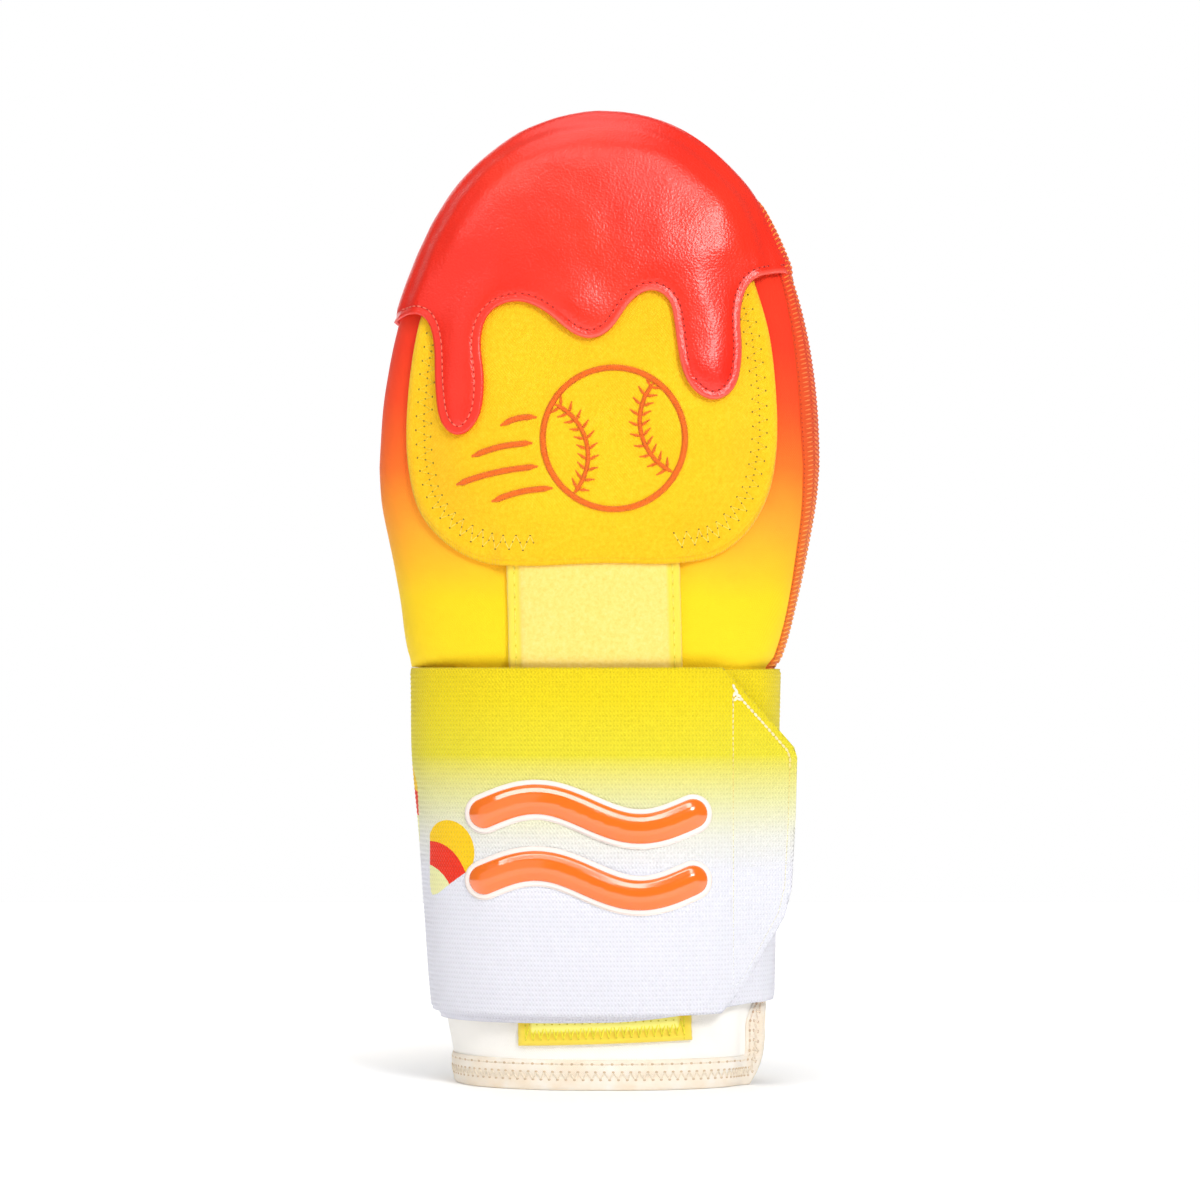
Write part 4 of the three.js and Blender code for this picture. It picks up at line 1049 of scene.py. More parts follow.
# Where each sweet is printed: millimetres along the strap, its tip's height, and its tilt in degrees
SWEETS = [
    (270.5, 55.4, -33), (262.0, 70.0, 14), (236, 42, -30), (214, 66, 20), (190, 38, 24), (166, 62, -18),
    (142, 40, 8), (124, 66, -28),
]
elastic, tree, shader, place = new_material("knitted_rib_elastic")
parts = add_node(tree, "ShaderNodeSeparateXYZ", {"Vector": place["Object"]}).outputs
mottle = add_node(tree, "ShaderNodeTexNoise", {"Vector": place["Object"], "Scale": 700.0, "Detail": 3.0})
height = add_node(tree, "ShaderNodeMapRange", {"Value": parts["Z"], "From Min": 0.0, "From Max": 0.125})
colour = add_node(tree, "ShaderNodeValToRGB", {"Fac": height}, stops=[
    (0.0, "#ECECF6"), (0.5, "#EDEDF6"), (0.58, "#ECEBE0"), (0.67, "#E8E6A4"), (0.77, "#E8DB30"),
    (0.9, "#EED70F"), (1.0, "#ECD10A")])
for along_mm, tip_mm, tilt in SWEETS:
    spot = add_node(tree, "ShaderNodeMapping", {
        "Vector": place["UV"], "Location": (along_mm * MM, tip_mm * MM, 0),
        "Rotation": (0, 0, math.radians(tilt)),
    }, vector_type="TEXTURE")
    sweet = add_node(tree, "ShaderNodeGroup", node_tree=sweet_group)
    set_inputs(sweet, {"Place": spot})
    colour = add_node(tree, "ShaderNodeMix", {
        0: sweet.outputs["Inside"], MIX_FROM: colour, MIX_TO: sweet.outputs["Colour"]}, data_type="RGBA")
weave = knit_height(tree, place["UV"], RIB_MM, 1.0, mottle)
parts = add_node(tree, "ShaderNodeSeparateXYZ", {"Vector": place["UV"]}).outputs
turned = add_node(tree, "ShaderNodeMath", {0: parts["Y"], 1: 2 * math.pi / (RIB_MM * MM)},
                  operation="MULTIPLY")
ribs = add_node(tree, "ShaderNodeMath", {0: turned}, operation="SINE")
relief = add_node(tree, "ShaderNodeMath", {0: ribs, 1: 0.6, 2: weave}, operation="MULTIPLY_ADD")
# The dips between ribs and the knit's columns are painted darker: painted shade in the grooves, on top of the
# bump
painted_groove_shade = add_node(tree, "ShaderNodeMapRange", {"Value": relief, "From Min": -1.5, "From Max": 0.6,
                                                     "To Min": 0.87, "To Max": 1.0})
painted_groove_grey = add_node(tree, "ShaderNodeCombineColor", {part: painted_groove_shade for part in ("Red", "Green", "Blue")})
woven = add_node(tree, "ShaderNodeMix", {0: 1.0, MIX_FROM: colour, MIX_TO: painted_groove_grey}, data_type="RGBA",
                 blend_type="MULTIPLY")
bump = add_node(tree, "ShaderNodeBump", {"Height": relief, "Strength": 0.6, "Distance": 0.0002})
set_inputs(shader, {"Base Color": woven, "Normal": bump, "Roughness": 0.75, "Sheen Weight": 0.15})
print("Elastic material with", len(tree.nodes), "nodes and", len(SWEETS), "sweets")

# %% The strap's way round the wrist
# Columns: turns round the wrist, lower edge and upper edge
STRAP_WAY = np.array([
    (0.455, 19.0, 120.7), (0.75, 19.8, 120.7), (0.93, 24.2, 120.9), (1.25, 24.6, 121.2), (1.5, 21.4, 121.4),
    (1.75, 21.6, 121.4), (2.0, 22.8, 121.4),
])
CINCH_Z, STRAP_THICK, STRAP_CLEAR, STRAP_SKIN = 121.2, 1.7, 0.4, 1.2
CLIMB_FROM, CLIMB_TO = 1.395, 1.45
PATCH_SPREAD, HEM_SPREAD, RIDE_FADE, NUDGE = 1.0, 1.5, 4.0, 0.002
STRAP_START, STRAP_STOP, STRAP_END_X, TAB_LENGTH = 0.455, 2.0, 38.0, 24.0
STRAP_SAMPLES, STRAP_MIDDLE, LATE_TURN = 1400, 71.0, 1.8


def strap_ride(point):
    """How far the strap's inner face stands off the form, over the loop tape, the hem and the seam."""
    over_tape = 1 - smoothstep(np.abs(point[:, 0] - patch_middle(point[:, 2])), PATCH_HALF + PATCH_SPREAD,
                               PATCH_HALF + PATCH_SPREAD + 5 * RIDE_FADE)
    hem_half = SLIT_HALF + HEM_WIDTH + HEM_SPREAD
    over_hem = 1 - smoothstep(np.abs(point[:, 1] - SLIT_Y), hem_half, hem_half + RIDE_FADE)
    tape = np.where(point[:, 1] < 0, over_tape * (GAP + PATCH_THICK), 0)
    hem = np.where(point[:, 0] > 0, over_hem * (GAP + SEAM_THICK), 0)
    return STRAP_CLEAR + np.maximum(tape, hem)


def strap_face(turn, z, lift):
    """Points of the strap at a turn and height, lifted off its inner face, with the level way out."""
    level = np.minimum(z, CINCH_Z)
    point = look_up(FORM, level, turn)
    along = look_up(FORM, level, turn + NUDGE) - look_up(FORM, level, turn - NUDGE)
    out = unit(np.column_stack([along[:, 1], -along[:, 0], np.zeros(len(along))]))
    climb = smoothstep(turn, CLIMB_FROM, CLIMB_TO) * (STRAP_THICK + STRAP_CLEAR)
    face = point + (strap_ride(point) + climb + lift)[:, None] * out
    face[:, 2] = z
    return face, out


strap_turns = np.linspace(STRAP_START, STRAP_STOP, STRAP_SAMPLES)
mid_line, _ = strap_face(strap_turns, np.full(STRAP_SAMPLES, STRAP_MIDDLE), np.zeros(STRAP_SAMPLES))
STRAP_RUN = length_along(mid_line)
late_turns = strap_turns[strap_turns > LATE_TURN]
end_heights = np.linspace(18, 122, 27)
end_turns = []
for end_height in end_heights:
    line, _ = strap_face(late_turns, np.full(len(late_turns), end_height), np.zeros(len(late_turns)))
    end_turns.append(np.interp(STRAP_END_X, line[:, 0], late_turns))
end_turns = np.array(end_turns)


def lay_strap(along, z, lift):
    """Points of the strap at a length along it. Past the end of its curve it goes straight on."""
    turn = np.interp(along, STRAP_RUN, strap_turns)
    end = np.interp(z, end_heights, end_turns)
    face, out = strap_face(np.minimum(turn, end), z, lift)
    past = np.maximum(along - np.interp(end, strap_turns, STRAP_RUN), 0)
    ahead = np.column_stack([-out[:, 1], out[:, 0], np.zeros(len(out))])
    return face + past[:, None] * ahead


LAST_RUN = float(np.interp(end_turns.max(), strap_turns, STRAP_RUN))
STRAP_LENGTH = LAST_RUN + TAB_LENGTH
print("The strap is", round(STRAP_LENGTH, 1), "mm long")

# %% Wind the strap and cut the corners of its end
TAB_OUTLINE = [
    (35.5, 121.4), (51.0, 104.4), (56.5, 98.2), (57.4, 95.2), (56.9, 77), (55.8, 57.5), (53.8, 49.5),
    (43.2, 31), (38.9, 26.4), (36.5, 22.8),
]
RIB_DEEP, EDGE_THIN, EDGE_WIDE, STRAP_WAVES = 0.08, 0.35, 1.6, 0.3
END_FROM_X, END_REACH, SPARE = 28.0, 30.0, 4.0
STRAP_ROWS, STRAP_PITCH = 146, 1.6


def trim_end(bm, inset):
    """Cuts a sheet along the tab's outline, made smaller by an inset."""
    run = bm.verts.layers.float["run"]
    for (ax, az), (bx, bz) in zip(TAB_OUTLINE, TAB_OUTLINE[1:]):
        out = Vector((az - bz, 0, bx - ax)).normalized()
        edge_at = Vector((ax + SHIFT[0], 0, az)) - out * inset
        near_end = [face for face in bm.faces
                    if min(v.co.x for v in face.verts) > END_FROM_X * MM
                    and face.calc_center_median().y < 0
                    and face.verts[0][run] > LAST_RUN - END_REACH]
        bmesh.ops.bisect_plane(bm, geom=with_edges(near_end), dist=1e-6, plane_co=edge_at * MM,
                               plane_no=out, clear_outer=True)


sheet_length = STRAP_LENGTH + SPARE
bm = flat_sheet(round(sheet_length / STRAP_PITCH), STRAP_ROWS, (sheet_length, 1.0))
along, share = pattern_points(bm)
turn = np.interp(along, STRAP_RUN, strap_turns)
lower, upper = (smooth_column(STRAP_WAY[:, 0], STRAP_WAY[:, c], turn) for c in (1, 2))
z = lower + (upper - lower) * share
from_edge = np.minimum(z - lower, upper - z)
rib = RIB_DEEP * np.cos(2 * math.pi * (z - lower) / RIB_MM)
edge = EDGE_THIN * (1 - smoothstep(from_edge, 0.0, EDGE_WIDE))
slack = np.array([noise.noise((a / 26, b / 34, 1.0)) for a, b in zip(along, z)])
keep_mark(bm, "run", along)
keep_uv(bm, along, z)
set_points(bm, lay_strap(along, z, STRAP_THICK + rib - edge + STRAP_WAVES * slack))
trim_end(bm, 0.0)
strap = finish_piece(bm, "wrist_strap_elastic", elastic, ["wrist_strap"], skin=STRAP_SKIN)

# %% [markdown]
# ## Hook tape
# The end of the strap grips with a panel of hook tape sewn under it. Only its rim can be seen from the side,
# but from there the end of the strap would look too thin without it.

# %% Hook tape
# Moulded nylon hooks stand in close rows, so the tape looks like a fine grid of stiff white bristles. The
# grid is drawn at 1.5 mm.
hook_nylon, tree, shader, place = new_material("moulded_nylon_hook_tape")
bristles = add_node(tree, "ShaderNodeTexVoronoi", {"Vector": place["Object"], "Scale": 660.0,
                                                   "Randomness": 0.15})
# The tint darkens between the bristles with the same pattern as the bump: painted shade in the gaps
tint = add_node(tree, "ShaderNodeValToRGB", {"Fac": bristles}, stops=[(0.1, "#FBF9EE"), (0.6, "#D8D4C2")])
bump = add_node(tree, "ShaderNodeBump", {"Height": bristles, "Strength": 0.8, "Distance": 0.0004},
                invert=True)
set_inputs(shader, {"Base Color": tint, "Normal": bump, "Roughness": 0.55})
print("Hook tape material with", len(tree.nodes), "nodes")

# %% Sew the hook tape under the strap's end
HOOK_BACK, HOOK_LOW, HOOK_TALL = 26.0, 26.0, 93.0
HOOK_SKIN, HOOK_INSET, HOOK_LIFT = 0.35, 0.7, 0.42
HOOK_COLUMNS, HOOK_ROWS = 34, 60
bm = flat_sheet(HOOK_COLUMNS, HOOK_ROWS, (HOOK_BACK + TAB_LENGTH + SPARE, HOOK_TALL))
along, up = pattern_points(bm)
along = along + LAST_RUN - HOOK_BACK
z = up + HOOK_LOW
keep_mark(bm, "run", along)
keep_uv(bm, along, z)
set_points(bm, lay_strap(along, z, np.full(len(z), HOOK_LIFT)))
trim_end(bm, HOOK_INSET)
hooks = finish_piece(bm, "strap_end_hook_tape", hook_nylon, ["strap_tab"], skin=HOOK_SKIN)

# %% [markdown]
# ## Raised emblem
# Two wavy bars of soft moulded rubber are welded on the strap, each a glossy orange bar on a thin pale base
# that shows as its outline. A bar is a flat outline that is inset in steps, and each step stands higher, so
# its edge becomes a bevel, which takes the light as a pale stripe.

# %% Gloss rubber and its pale rim
# Moulded thermoplastic rubber has a smooth closed skin: a strong clean highlight over a saturated colour, and
# very slight waviness from the mould. For each finish: its colour, its roughness and its clear coat.
EMBLEM_FINISHES = {
    "glossy_moulded_rubber": ("#F87410", 0.13, 0.6),
    "pale_moulded_rim": ("#FFF1EA", 0.42, 0.0),
}
moulded = {}
for name, (hexcode, rough, coated) in EMBLEM_FINISHES.items():
    moulded[name], tree, shader, place = new_material(name, gloss=0.85)
    flow = add_node(tree, "ShaderNodeTexNoise", {"Vector": place["Object"], "Scale": 90.0, "Detail": 2.0})
    tone = add_node(tree, "ShaderNodeMapRange", {"Value": flow, "To Min": 0.93, "To Max": 1.05})
    tint = add_node(tree, "ShaderNodeHueSaturation", {"Color": hexcode, "Value": tone})
    bump = add_node(tree, "ShaderNodeBump", {"Height": flow, "Strength": 0.05, "Distance": 0.0004})
    set_inputs(shader, {"Base Color": tint, "Normal": bump, "Roughness": rough, "Coat Weight": coated,
                        "Coat Roughness": 0.05})
print("Emblem materials:", ", ".join(moulded))

# %% Mould the two bars
WAVE_LENGTH, WAVE_SWING, WAVE_HALF, WAVE_RIM = 60.0, 4.2, 4.3, 1.3
WAVES = {"upper": (-3.4, 79.5), "lower": (-3.4, 60.5)}
BAR_GRID, BAR_SKIN, STRAP_PASSES = 1.6, 0.3, 4
SHOULDER = [0.15, 0.25, 0.2, 0.15, 0.5, 0.5, 0.5, 0.15, 0.6]
# For each layer: half its width, where it starts, how many rows its shoulder has, its finish and its slot
LAYERS = {
    "base": (WAVE_HALF + WAVE_RIM, 0.3, 6, "pale_moulded_rim", "emblem_rim"),
    "wave": (WAVE_HALF, 0.75, 9, "glossy_moulded_rubber", "emblem_gloss"),
}
# How high a layer stands at depths from its edge: a short steep edge, a flat bevel, and an almost flat top
BEVEL = {
    "base": ([0.0, 0.15, 0.4, 0.8, 1.5, 2.1], [0.0, 0.3, 0.5, 0.6, 0.6, 0.2]),
    "wave": ([0.0, 0.15, 0.4, 0.6, 2.4, 3.0, 3.6, 4.3], [0.0, 0.45, 0.72, 0.88, 1.83, 2.02, 2.09, 2.1]),
}


def wave_outline(middle, half):
    """A wavy bar with round ends, as a closed outline."""
    s = np.linspace(0, 1, 61)
    line = np.column_stack([middle[0] + WAVE_LENGTH * (s - 0.5),
                            middle[1] + WAVE_SWING * np.sin(2 * math.pi * s)])
    run = unit(np.gradient(line, axis=0))
    side = np.column_stack([-run[:, 1], run[:, 0]])
    ends = []
    for i in (60, 0):
        first = math.atan2(side[i, 1], side[i, 0]) + (math.pi if i == 0 else 0)
        turned = [first - math.pi * (k + 1) / 14 for k in range(13)]
        ends.append(line[i] + half * np.array([(math.cos(a), math.sin(a)) for a in turned]))
    return np.vstack([line + half * side, ends[0], (line - half * side)[::-1], ends[1]])


def on_strap(x, z, lift):
    """Points seen at x and z from the front, lifted off the outer face of the strap."""
    foot_x = x
    level = np.minimum(z, CINCH_Z)
    for _ in range(STRAP_PASSES):
        turn = turns_at(level, foot_x, 1.5, STRAP_STOP, 0)
        face, _ = strap_face(turn, z, STRAP_THICK + lift)
        foot_x = foot_x + 0.95 * (x - face[:, 0])
    return face


for which, middle in WAVES.items():
    for layer, (half, low, rows, finish, slot) in LAYERS.items():
        outline = wave_outline(middle, half)
        bm = cut_panel(outline, SHOULDER[:rows], (BAR_GRID, BAR_GRID))
        x, z = pattern_points(bm)
        lift = low + np.interp(depth_inside(outline, x, z), *BEVEL[layer])
        keep_uv(bm, x, z)
        set_points(bm, on_strap(x, z, lift))
        node = f"emblem_{layer}_{which}"
        finish_piece(bm, f"{node}_moulding", moulded[finish], [node], skin=BAR_SKIN)

# %% [markdown]
# ## Stitches
# Sewing shows as short lengths of thread that dip into small needle holes. Each visible length is a slim
# ellipsoid of thread, and each hole a flat one painted darker, as the shade inside the hole. They are placed
# along a line that is first worked out on the form and then dropped on the nearest point of the finished
# cloth, so no stitch floats or drowns. A painted row would be lighter to make, but real beads also cast their
# own small shadows. There are thousands, so one bead is made with the sphere operator and its copies are
# joined as arrays.

# %% Sewing thread, dyed by place
# Bonded polyester thread is smooth with a soft satin gloss, and its twist makes the tone uneven. It is dyed
# to match the cloth that it crosses, so its colour changes with height, or across the cap from side to side.
def thread_material(name, dye, painted_shades, axis="Z", rough=0.5):
    """Thread dyed by place: millimetres along an axis and colours. The attribute painted_shade marks needle
    holes, painted darker.
    """
    made, tree, shader, place = new_material(name)
    parts = add_node(tree, "ShaderNodeSeparateXYZ", {"Vector": place["Object"]}).outputs
    span = add_node(tree, "ShaderNodeMapRange", {"Value": parts[axis], "From Min": -DYE_TOP * MM,
                                                 "From Max": DYE_TOP * MM})
    thread, hole = (add_node(tree, "ShaderNodeValToRGB", {"Fac": span},
                             stops=[((at / DYE_TOP + 1) / 2, colour) for at, colour in table])
                    for table in (dye, painted_shades))
    fibre = add_node(tree, "ShaderNodeTexNoise", {"Vector": place["Object"], "Scale": 1400.0, "Detail": 3.0})
    twist = add_node(tree, "ShaderNodeMapRange", {"Value": fibre, "From Min": 0.3, "From Max": 0.6,
                                                  "To Min": 0.82, "To Max": 1.0})
    toned = add_node(tree, "ShaderNodeHueSaturation", {"Color": thread, "Value": twist})
    # Needle holes and the ends of satin threads take the second colours: painted shade where thread goes into
    # cloth
    painted_shade = add_node(tree, "ShaderNodeAttribute", attribute_name="painted_shade").outputs["Fac"]
    mixed = add_node(tree, "ShaderNodeMix", {0: painted_shade, MIX_FROM: toned, MIX_TO: hole}, data_type="RGBA")
    set_inputs(shader, {"Base Color": mixed, "Roughness": rough, "Sheen Weight": 0.2})
    return made


# %% One bead of thread, one needle hole
def bead_shape(around, along):
    """A ball of a few dozen faces, as its points and its faces."""
    bm = bmesh.new()
    bmesh.ops.create_uvsphere(bm, u_segments=around, v_segments=along, radius=0.5)
    bm.verts.index_update()
    shape = (np.array([v.co for v in bm.verts]), [[v.index for v in face.verts] for face in bm.faces])
    bm.free()
    return shape


THREAD_SHAPE, HOLE_SHAPE = bead_shape(8, 5), bead_shape(6, 4)
THREAD_PAINTED_SHADE, HOLE_PAINTED_SHADE = np.zeros(len(THREAD_SHAPE[0])), np.ones(len(HOLE_SHAPE[0]))


def lay_beads(beads, at, along, out, size, shape=THREAD_SHAPE, painted_shade=THREAD_PAINTED_SHADE, up=0.2):
    """Adds a bead at each place: its length along the seam, its width across and its height off it."""
    length, width, height = (value * MM for value in size)
    out = unit(out)
    way = unit(along - np.sum(along * out, axis=1, keepdims=True) * out)
    axes = np.stack([np.cross(out, way) * width, out * height, way * length], axis=1)
    placed = np.einsum("pa,nac->npc", shape[0], axes) + (at + out * height * up)[:, None]
    beads.append((placed, shape[1], painted_shade))


def lay_holes(beads, at, out, size):
    """Adds a needle hole at each place, lying flat on the cloth, with its colour painted darker as shade."""
    lay_beads(beads, at, np.gradient(at, axis=0), out, size, HOLE_SHAPE, HOLE_PAINTED_SHADE, up=0.0)


def finish_beads(beads, name, material):
    """Joins all beads into one piece, with the attribute that marks where holes and thread ends get painted
    shade.
    """
    places, polygons, painted_shades, count = [], [], [], 0
    for placed, faces, painted_shade in beads:
        for one in placed:
            polygons += [[count + i for i in face] for face in faces]
            count += len(one)
        places.append(placed.reshape(-1, 3))
        painted_shades.append(np.tile(painted_shade, len(placed)))
    mesh = bpy.data.meshes.new(name)
    mesh.from_pydata(np.vstack(places).tolist(), [], polygons)
    mesh.attributes.new("painted_shade", "FLOAT", "POINT").data.foreach_set("value", np.concatenate(painted_shades))
    mesh.polygons.foreach_set("use_smooth", [True] * len(polygons))
    add_piece(name, mesh, material)
    print(f"{name}: {sum(len(placed) for placed, _, _ in beads)} beads, {len(polygons)} faces")


# %% Dropping a line of stitches on a piece
def surface_of(piece):
    """A search tree over a finished piece, with its modifiers."""
    return BVHTree.FromObject(piece, bpy.context.evaluated_depsgraph_get())


def even_line(points, pitch, start=0.0):
    """Even places along a line of points."""
    return places_along(points, np.arange(start, length_along(points)[-1], pitch))


def drop(surface, points):
    """Places on the cloth nearest to points in the form's millimetres, with the way out of the cloth."""
    found = [surface.find_nearest(Vector(p)) for p in (points + SHIFT) * MM]
    return np.array([hit[0] for hit in found]), np.array([hit[1] for hit in found])


def sew_line(beads, surface, points, pitch, thread_size, hole_size):
    """A row of straight stitches along a line, with a needle hole between each two."""
    at, out = drop(surface, even_line(points, pitch, pitch / 2))
    lay_beads(beads, at, np.gradient(at, axis=0), out, thread_size)
    lay_holes(beads, *drop(surface, even_line(points, pitch)), hole_size)


def sew_zigzag(beads, surface, corners, thread_size, hole_size):
    """Threads from each corner of a zigzag to the next, with a needle hole at each corner."""
    at, out = drop(surface, corners)
    lay_beads(beads, (at[1:] + at[:-1]) / 2, at[1:] - at[:-1], (out[1:] + out[:-1]) / 2, thread_size)
    lay_holes(beads, at, out, hole_size)


def inside_line(line, inset):
    """A flat line moved to its left by an inset, which may differ from point to point."""
    run = unit(np.gradient(line, axis=0))
    return line + np.reshape(inset, (-1, 1)) * np.column_stack([-run[:, 1], run[:, 0]])


# %% Sew the cap's edge
CAP_PITCH, CAP_THREAD, CAP_HOLE = 2.0, (1.35, 0.42, 0.34), (0.7, 0.55, 0.18)
cap_thread = thread_material("red_sewing_thread", [(-37, "#FA7A64"), (-28, "#F04A36"), (60, "#EA4030")],
                             [(-37, "#C8281A"), (0, "#A01408")], axis="X")
along, height = inside_line(even_line(np.vstack([front_part, back_part]), 1.0), STITCH_INSET).T
level = np.interp(height, HEIGHTS, LEVELS)
foot = look_up(FORM, level, along / ROUND)
lift = GAP + CAP_SKIN + cap_rise(foot[:, 0], foot[:, 2], foot[:, 1] < 0)
cap_line = lay_round(level, along / ROUND, lift)
beads = []
sew_line(beads, surface_of(cap), cap_line, CAP_PITCH, CAP_THREAD, CAP_HOLE)
finish_beads(beads, "tip_cap_stitches", cap_thread)

# %% Sew the pad's border with a wide zigzag
# The zigzag has three rows of needle holes, each a little out of line. It stops short in the middle of the
# lower edge, and under the cap.
ZIGZAG_STEP, ZIGZAG_ROWS, UNEVEN = 1.05, (3.0, 5.2, 7.2, 5.2), 0.35
BARE_MIDDLE, BARE_HALF, BARE_TOP, CAP_FROM = 1.0, 20.0, 200.0, 246.0
PAD_THREAD, PAD_HOLE = (2.3, 0.32, 0.22), (0.66, 0.55, 0.25)
pad_thread = thread_material("yellow_sewing_thread", [(150, "#FBE36A"), (175, "#F6D32A")], [(150, "#8A6A10")])
beads = []
pad_surface = surface_of(pad)
border = even_line(np.vstack([pad_edge, pad_edge[:1]]), ZIGZAG_STEP)
rows = np.resize(ZIGZAG_ROWS, len(border))
sample = inside_line(border, 2.0)[:1]
inward = 1 if depth_inside(pad_edge, sample[:, 0], sample[:, 1])[0] > 0 else -1
corners = inside_line(border, inward * rows)
corners += UNEVEN * np.array([noise.noise_vector((7.3 * i, 1.0, 2.0)) for i in range(len(corners))])[:, :2]
beside = np.abs(corners[:, 0] - BARE_MIDDLE) > BARE_HALF
shown = (corners[:, 1] < CAP_FROM) & (beside | (corners[:, 1] > BARE_TOP))
for part in np.split(np.arange(len(corners)), np.flatnonzero(np.diff(shown.astype(int))) + 1):
    if shown[part[0]] and len(part) > 2:
        line = lay_front(*corners[part].T, pad_lift)
        sew_zigzag(beads, pad_surface, line, PAD_THREAD, PAD_HOLE)
finish_beads(beads, "hand_pad_stitches", pad_thread)

# %% Sew the loop tape: a row down each side and a zigzag across its foot
tape_thread = thread_material("lemon_sewing_thread", [(20, "#FAEE3C"), (120, "#FBE95C")], [(20, "#E0CE34")])
TAPE_PITCH, TAPE_INSET, FOOT_ROWS, FOOT_STEP = 3.5, 2.2, (15.2, 19.6), 1.05
TAPE_THREAD, TAPE_HOLE = (2.6, 0.5, 0.36), (0.8, 0.66, 0.3)
FOOT_THREAD, FOOT_HOLE = (4.4, 0.5, 0.6), (0.6, 0.5, 0.3)
beads = []
tape_surface = surface_of(tape)


def on_tape(x, z):
    """Points of the tape's face."""
    return lay_front(x, z, lambda a, b: np.full(len(a), GAP + PATCH_THICK))


for side in (-1, 1):
    for low, high in ((118.0, 154.0), (15.0, 24.0)):
        z = np.linspace(low, high, 40)
        line = on_tape(patch_middle(z) + side * (PATCH_HALF - TAPE_INSET), z)
        sew_line(beads, tape_surface, line, TAPE_PITCH, TAPE_THREAD, TAPE_HOLE)
count = round(2 * (PATCH_HALF - TAPE_INSET) / FOOT_STEP)
x = PATCH_FOOT[0] + np.linspace(-1, 1, count) * (PATCH_HALF - TAPE_INSET)
z = np.resize(FOOT_ROWS, count) + FOOT_SLANT * (x - PATCH_FOOT[0])
sew_zigzag(beads, tape_surface, on_tape(x, z), FOOT_THREAD, FOOT_HOLE)
finish_beads(beads, "loop_tape_stitches", tape_thread)

# %% Sew the hem with a low zigzag row and a straight row above it
HEM_ROWS, HEM_STITCH, ZIGZAG_DEPTH = (4.3, 7.6), 2.9, 1.1
hem_thread = thread_material("cream_sewing_thread", [(0, "#F9ECD6"), (30, "#F6E0CA")],
                             [(0, "#DCC5A4"), (30, "#D2AE92")])
beads = []
hem_surface = surface_of(hem)
for row_width, step, swing in zip(HEM_ROWS, (HEM_STITCH / 2, 1.0), (ZIGZAG_DEPTH, 0.0)):
    along = np.arange(4.0, HEM_LENGTH - 4.0, step)
    across, height = hem_place(along, row_width + np.resize((-swing, swing), len(along)))
    line = lay_sheet(across, height, np.full(len(along), HEM_LEAF))
    if swing:
        sew_zigzag(beads, hem_surface, line, (2.3, 0.5, 0.4), (0.95, 0.8, 0.34))
    else:
        sew_line(beads, hem_surface, line, HEM_STITCH, (2.0, 0.5, 0.34), (1.0, 0.85, 0.34))
finish_beads(beads, "cuff_hem_stitches", hem_thread)

# %% Overlock the side seam
# Four columns of slanted thread make the herringbone, and needle holes run up its edges and between them.
# Each column goes from one share of the band's width to another, and rises on the way.
HERRINGBONE = ((0.05, 0.28, 0.9), (0.51, 0.28, 0.9), (0.51, 0.74, 0.9), (0.95, 0.74, 0.9))
SEAM_HOLE_AT, SEAM_THREAD, SEAM_HOLE = (0.03, 0.28, 0.74), (2.5, 0.56, 0.5), (0.5, 0.4, 0.2)
seam_thread = thread_material(
    "orange_overlock_thread",
    [(125, "#FFA844"), (165, "#FF9A44"), (195, "#FF8444"), (225, "#FF7A38"), (245, "#FF8A30")],
    [(125, "#9C5A0C"), (185, "#B83410"), (235, "#C02C10")])
beads = []
seam_surface = surface_of(seam)
z = np.arange(SEAM_LOW + 1.5, SEAM_HIGH - 3, OVERLOCK_PITCH)
for from_share, to_share, rise in HERRINGBONE:
    ends = []
    for share, up in ((from_share, 0.0), (to_share, rise)):
        shares = np.full(len(z), share)
        ends.append(drop(seam_surface, lay_seam(shares, z + up, seam_lift(shares, z + up))))
    middle, way = (ends[0][0] + ends[1][0]) / 2, ends[1][0] - ends[0][0]
    lay_beads(beads, middle, way, (ends[0][1] + ends[1][1]) / 2, SEAM_THREAD, up=0.25)
for share in SEAM_HOLE_AT:
    shares = np.full(len(z), share)
    line = lay_seam(shares, z + OVERLOCK_PITCH / 2, seam_lift(shares, z))
    lay_holes(beads, *drop(seam_surface, line), SEAM_HOLE)
finish_beads(beads, "side_seam_stitches", seam_thread)

# %% Sew the strap's end
# The end of the elastic is turned under and sewn along its edge and its crease, most thickly at the upper
# cut corner, with a knot where that row starts.
end_thread = thread_material(
    "ecru_sewing_thread",
    [(30, "#F4F4FA"), (75, "#F8F4CC"), (90, "#F4DC6E"), (97, "#FBE9A4"), (114, "#FFF6E0")],
    [(30, "#D8D8E2"), (75, "#DCCB8C"), (95, "#D8B040"), (115, "#D09A7C")])
TAB_INSET, END_PITCH, END_HOLE, CORNER_Z = 2.2, 1.6, (0.4, 0.36, 0.12), 92
CORNER_THREAD, EDGE_THREAD, CREASE_THREAD = (1.5, 0.8, 0.5), (1.3, 0.3, 0.16), (1.3, 0.3, 0.14)
KNOT_THREAD = (1.9, 0.9, 0.7)
KNOT = [(38.6, 115.8), (39.3, 114.6), (38.8, 113.7), (39.9, 113.3), (39.2, 112.4), (40.3, 112.2)]
strap_surface = surface_of(strap)


def on_tab(flat_line):
    """Points of the strap's face straight behind a flat line."""
    starts = np.column_stack([flat_line[:, 0], np.full(len(flat_line), -40.0), flat_line[:, 1]])
    hits = [strap_surface.ray_cast(Vector(p), Vector((0, 1, 0)))[0] for p in (starts + SHIFT) * MM]
    return np.array([hit for hit in hits if hit is not None]) / MM - SHIFT


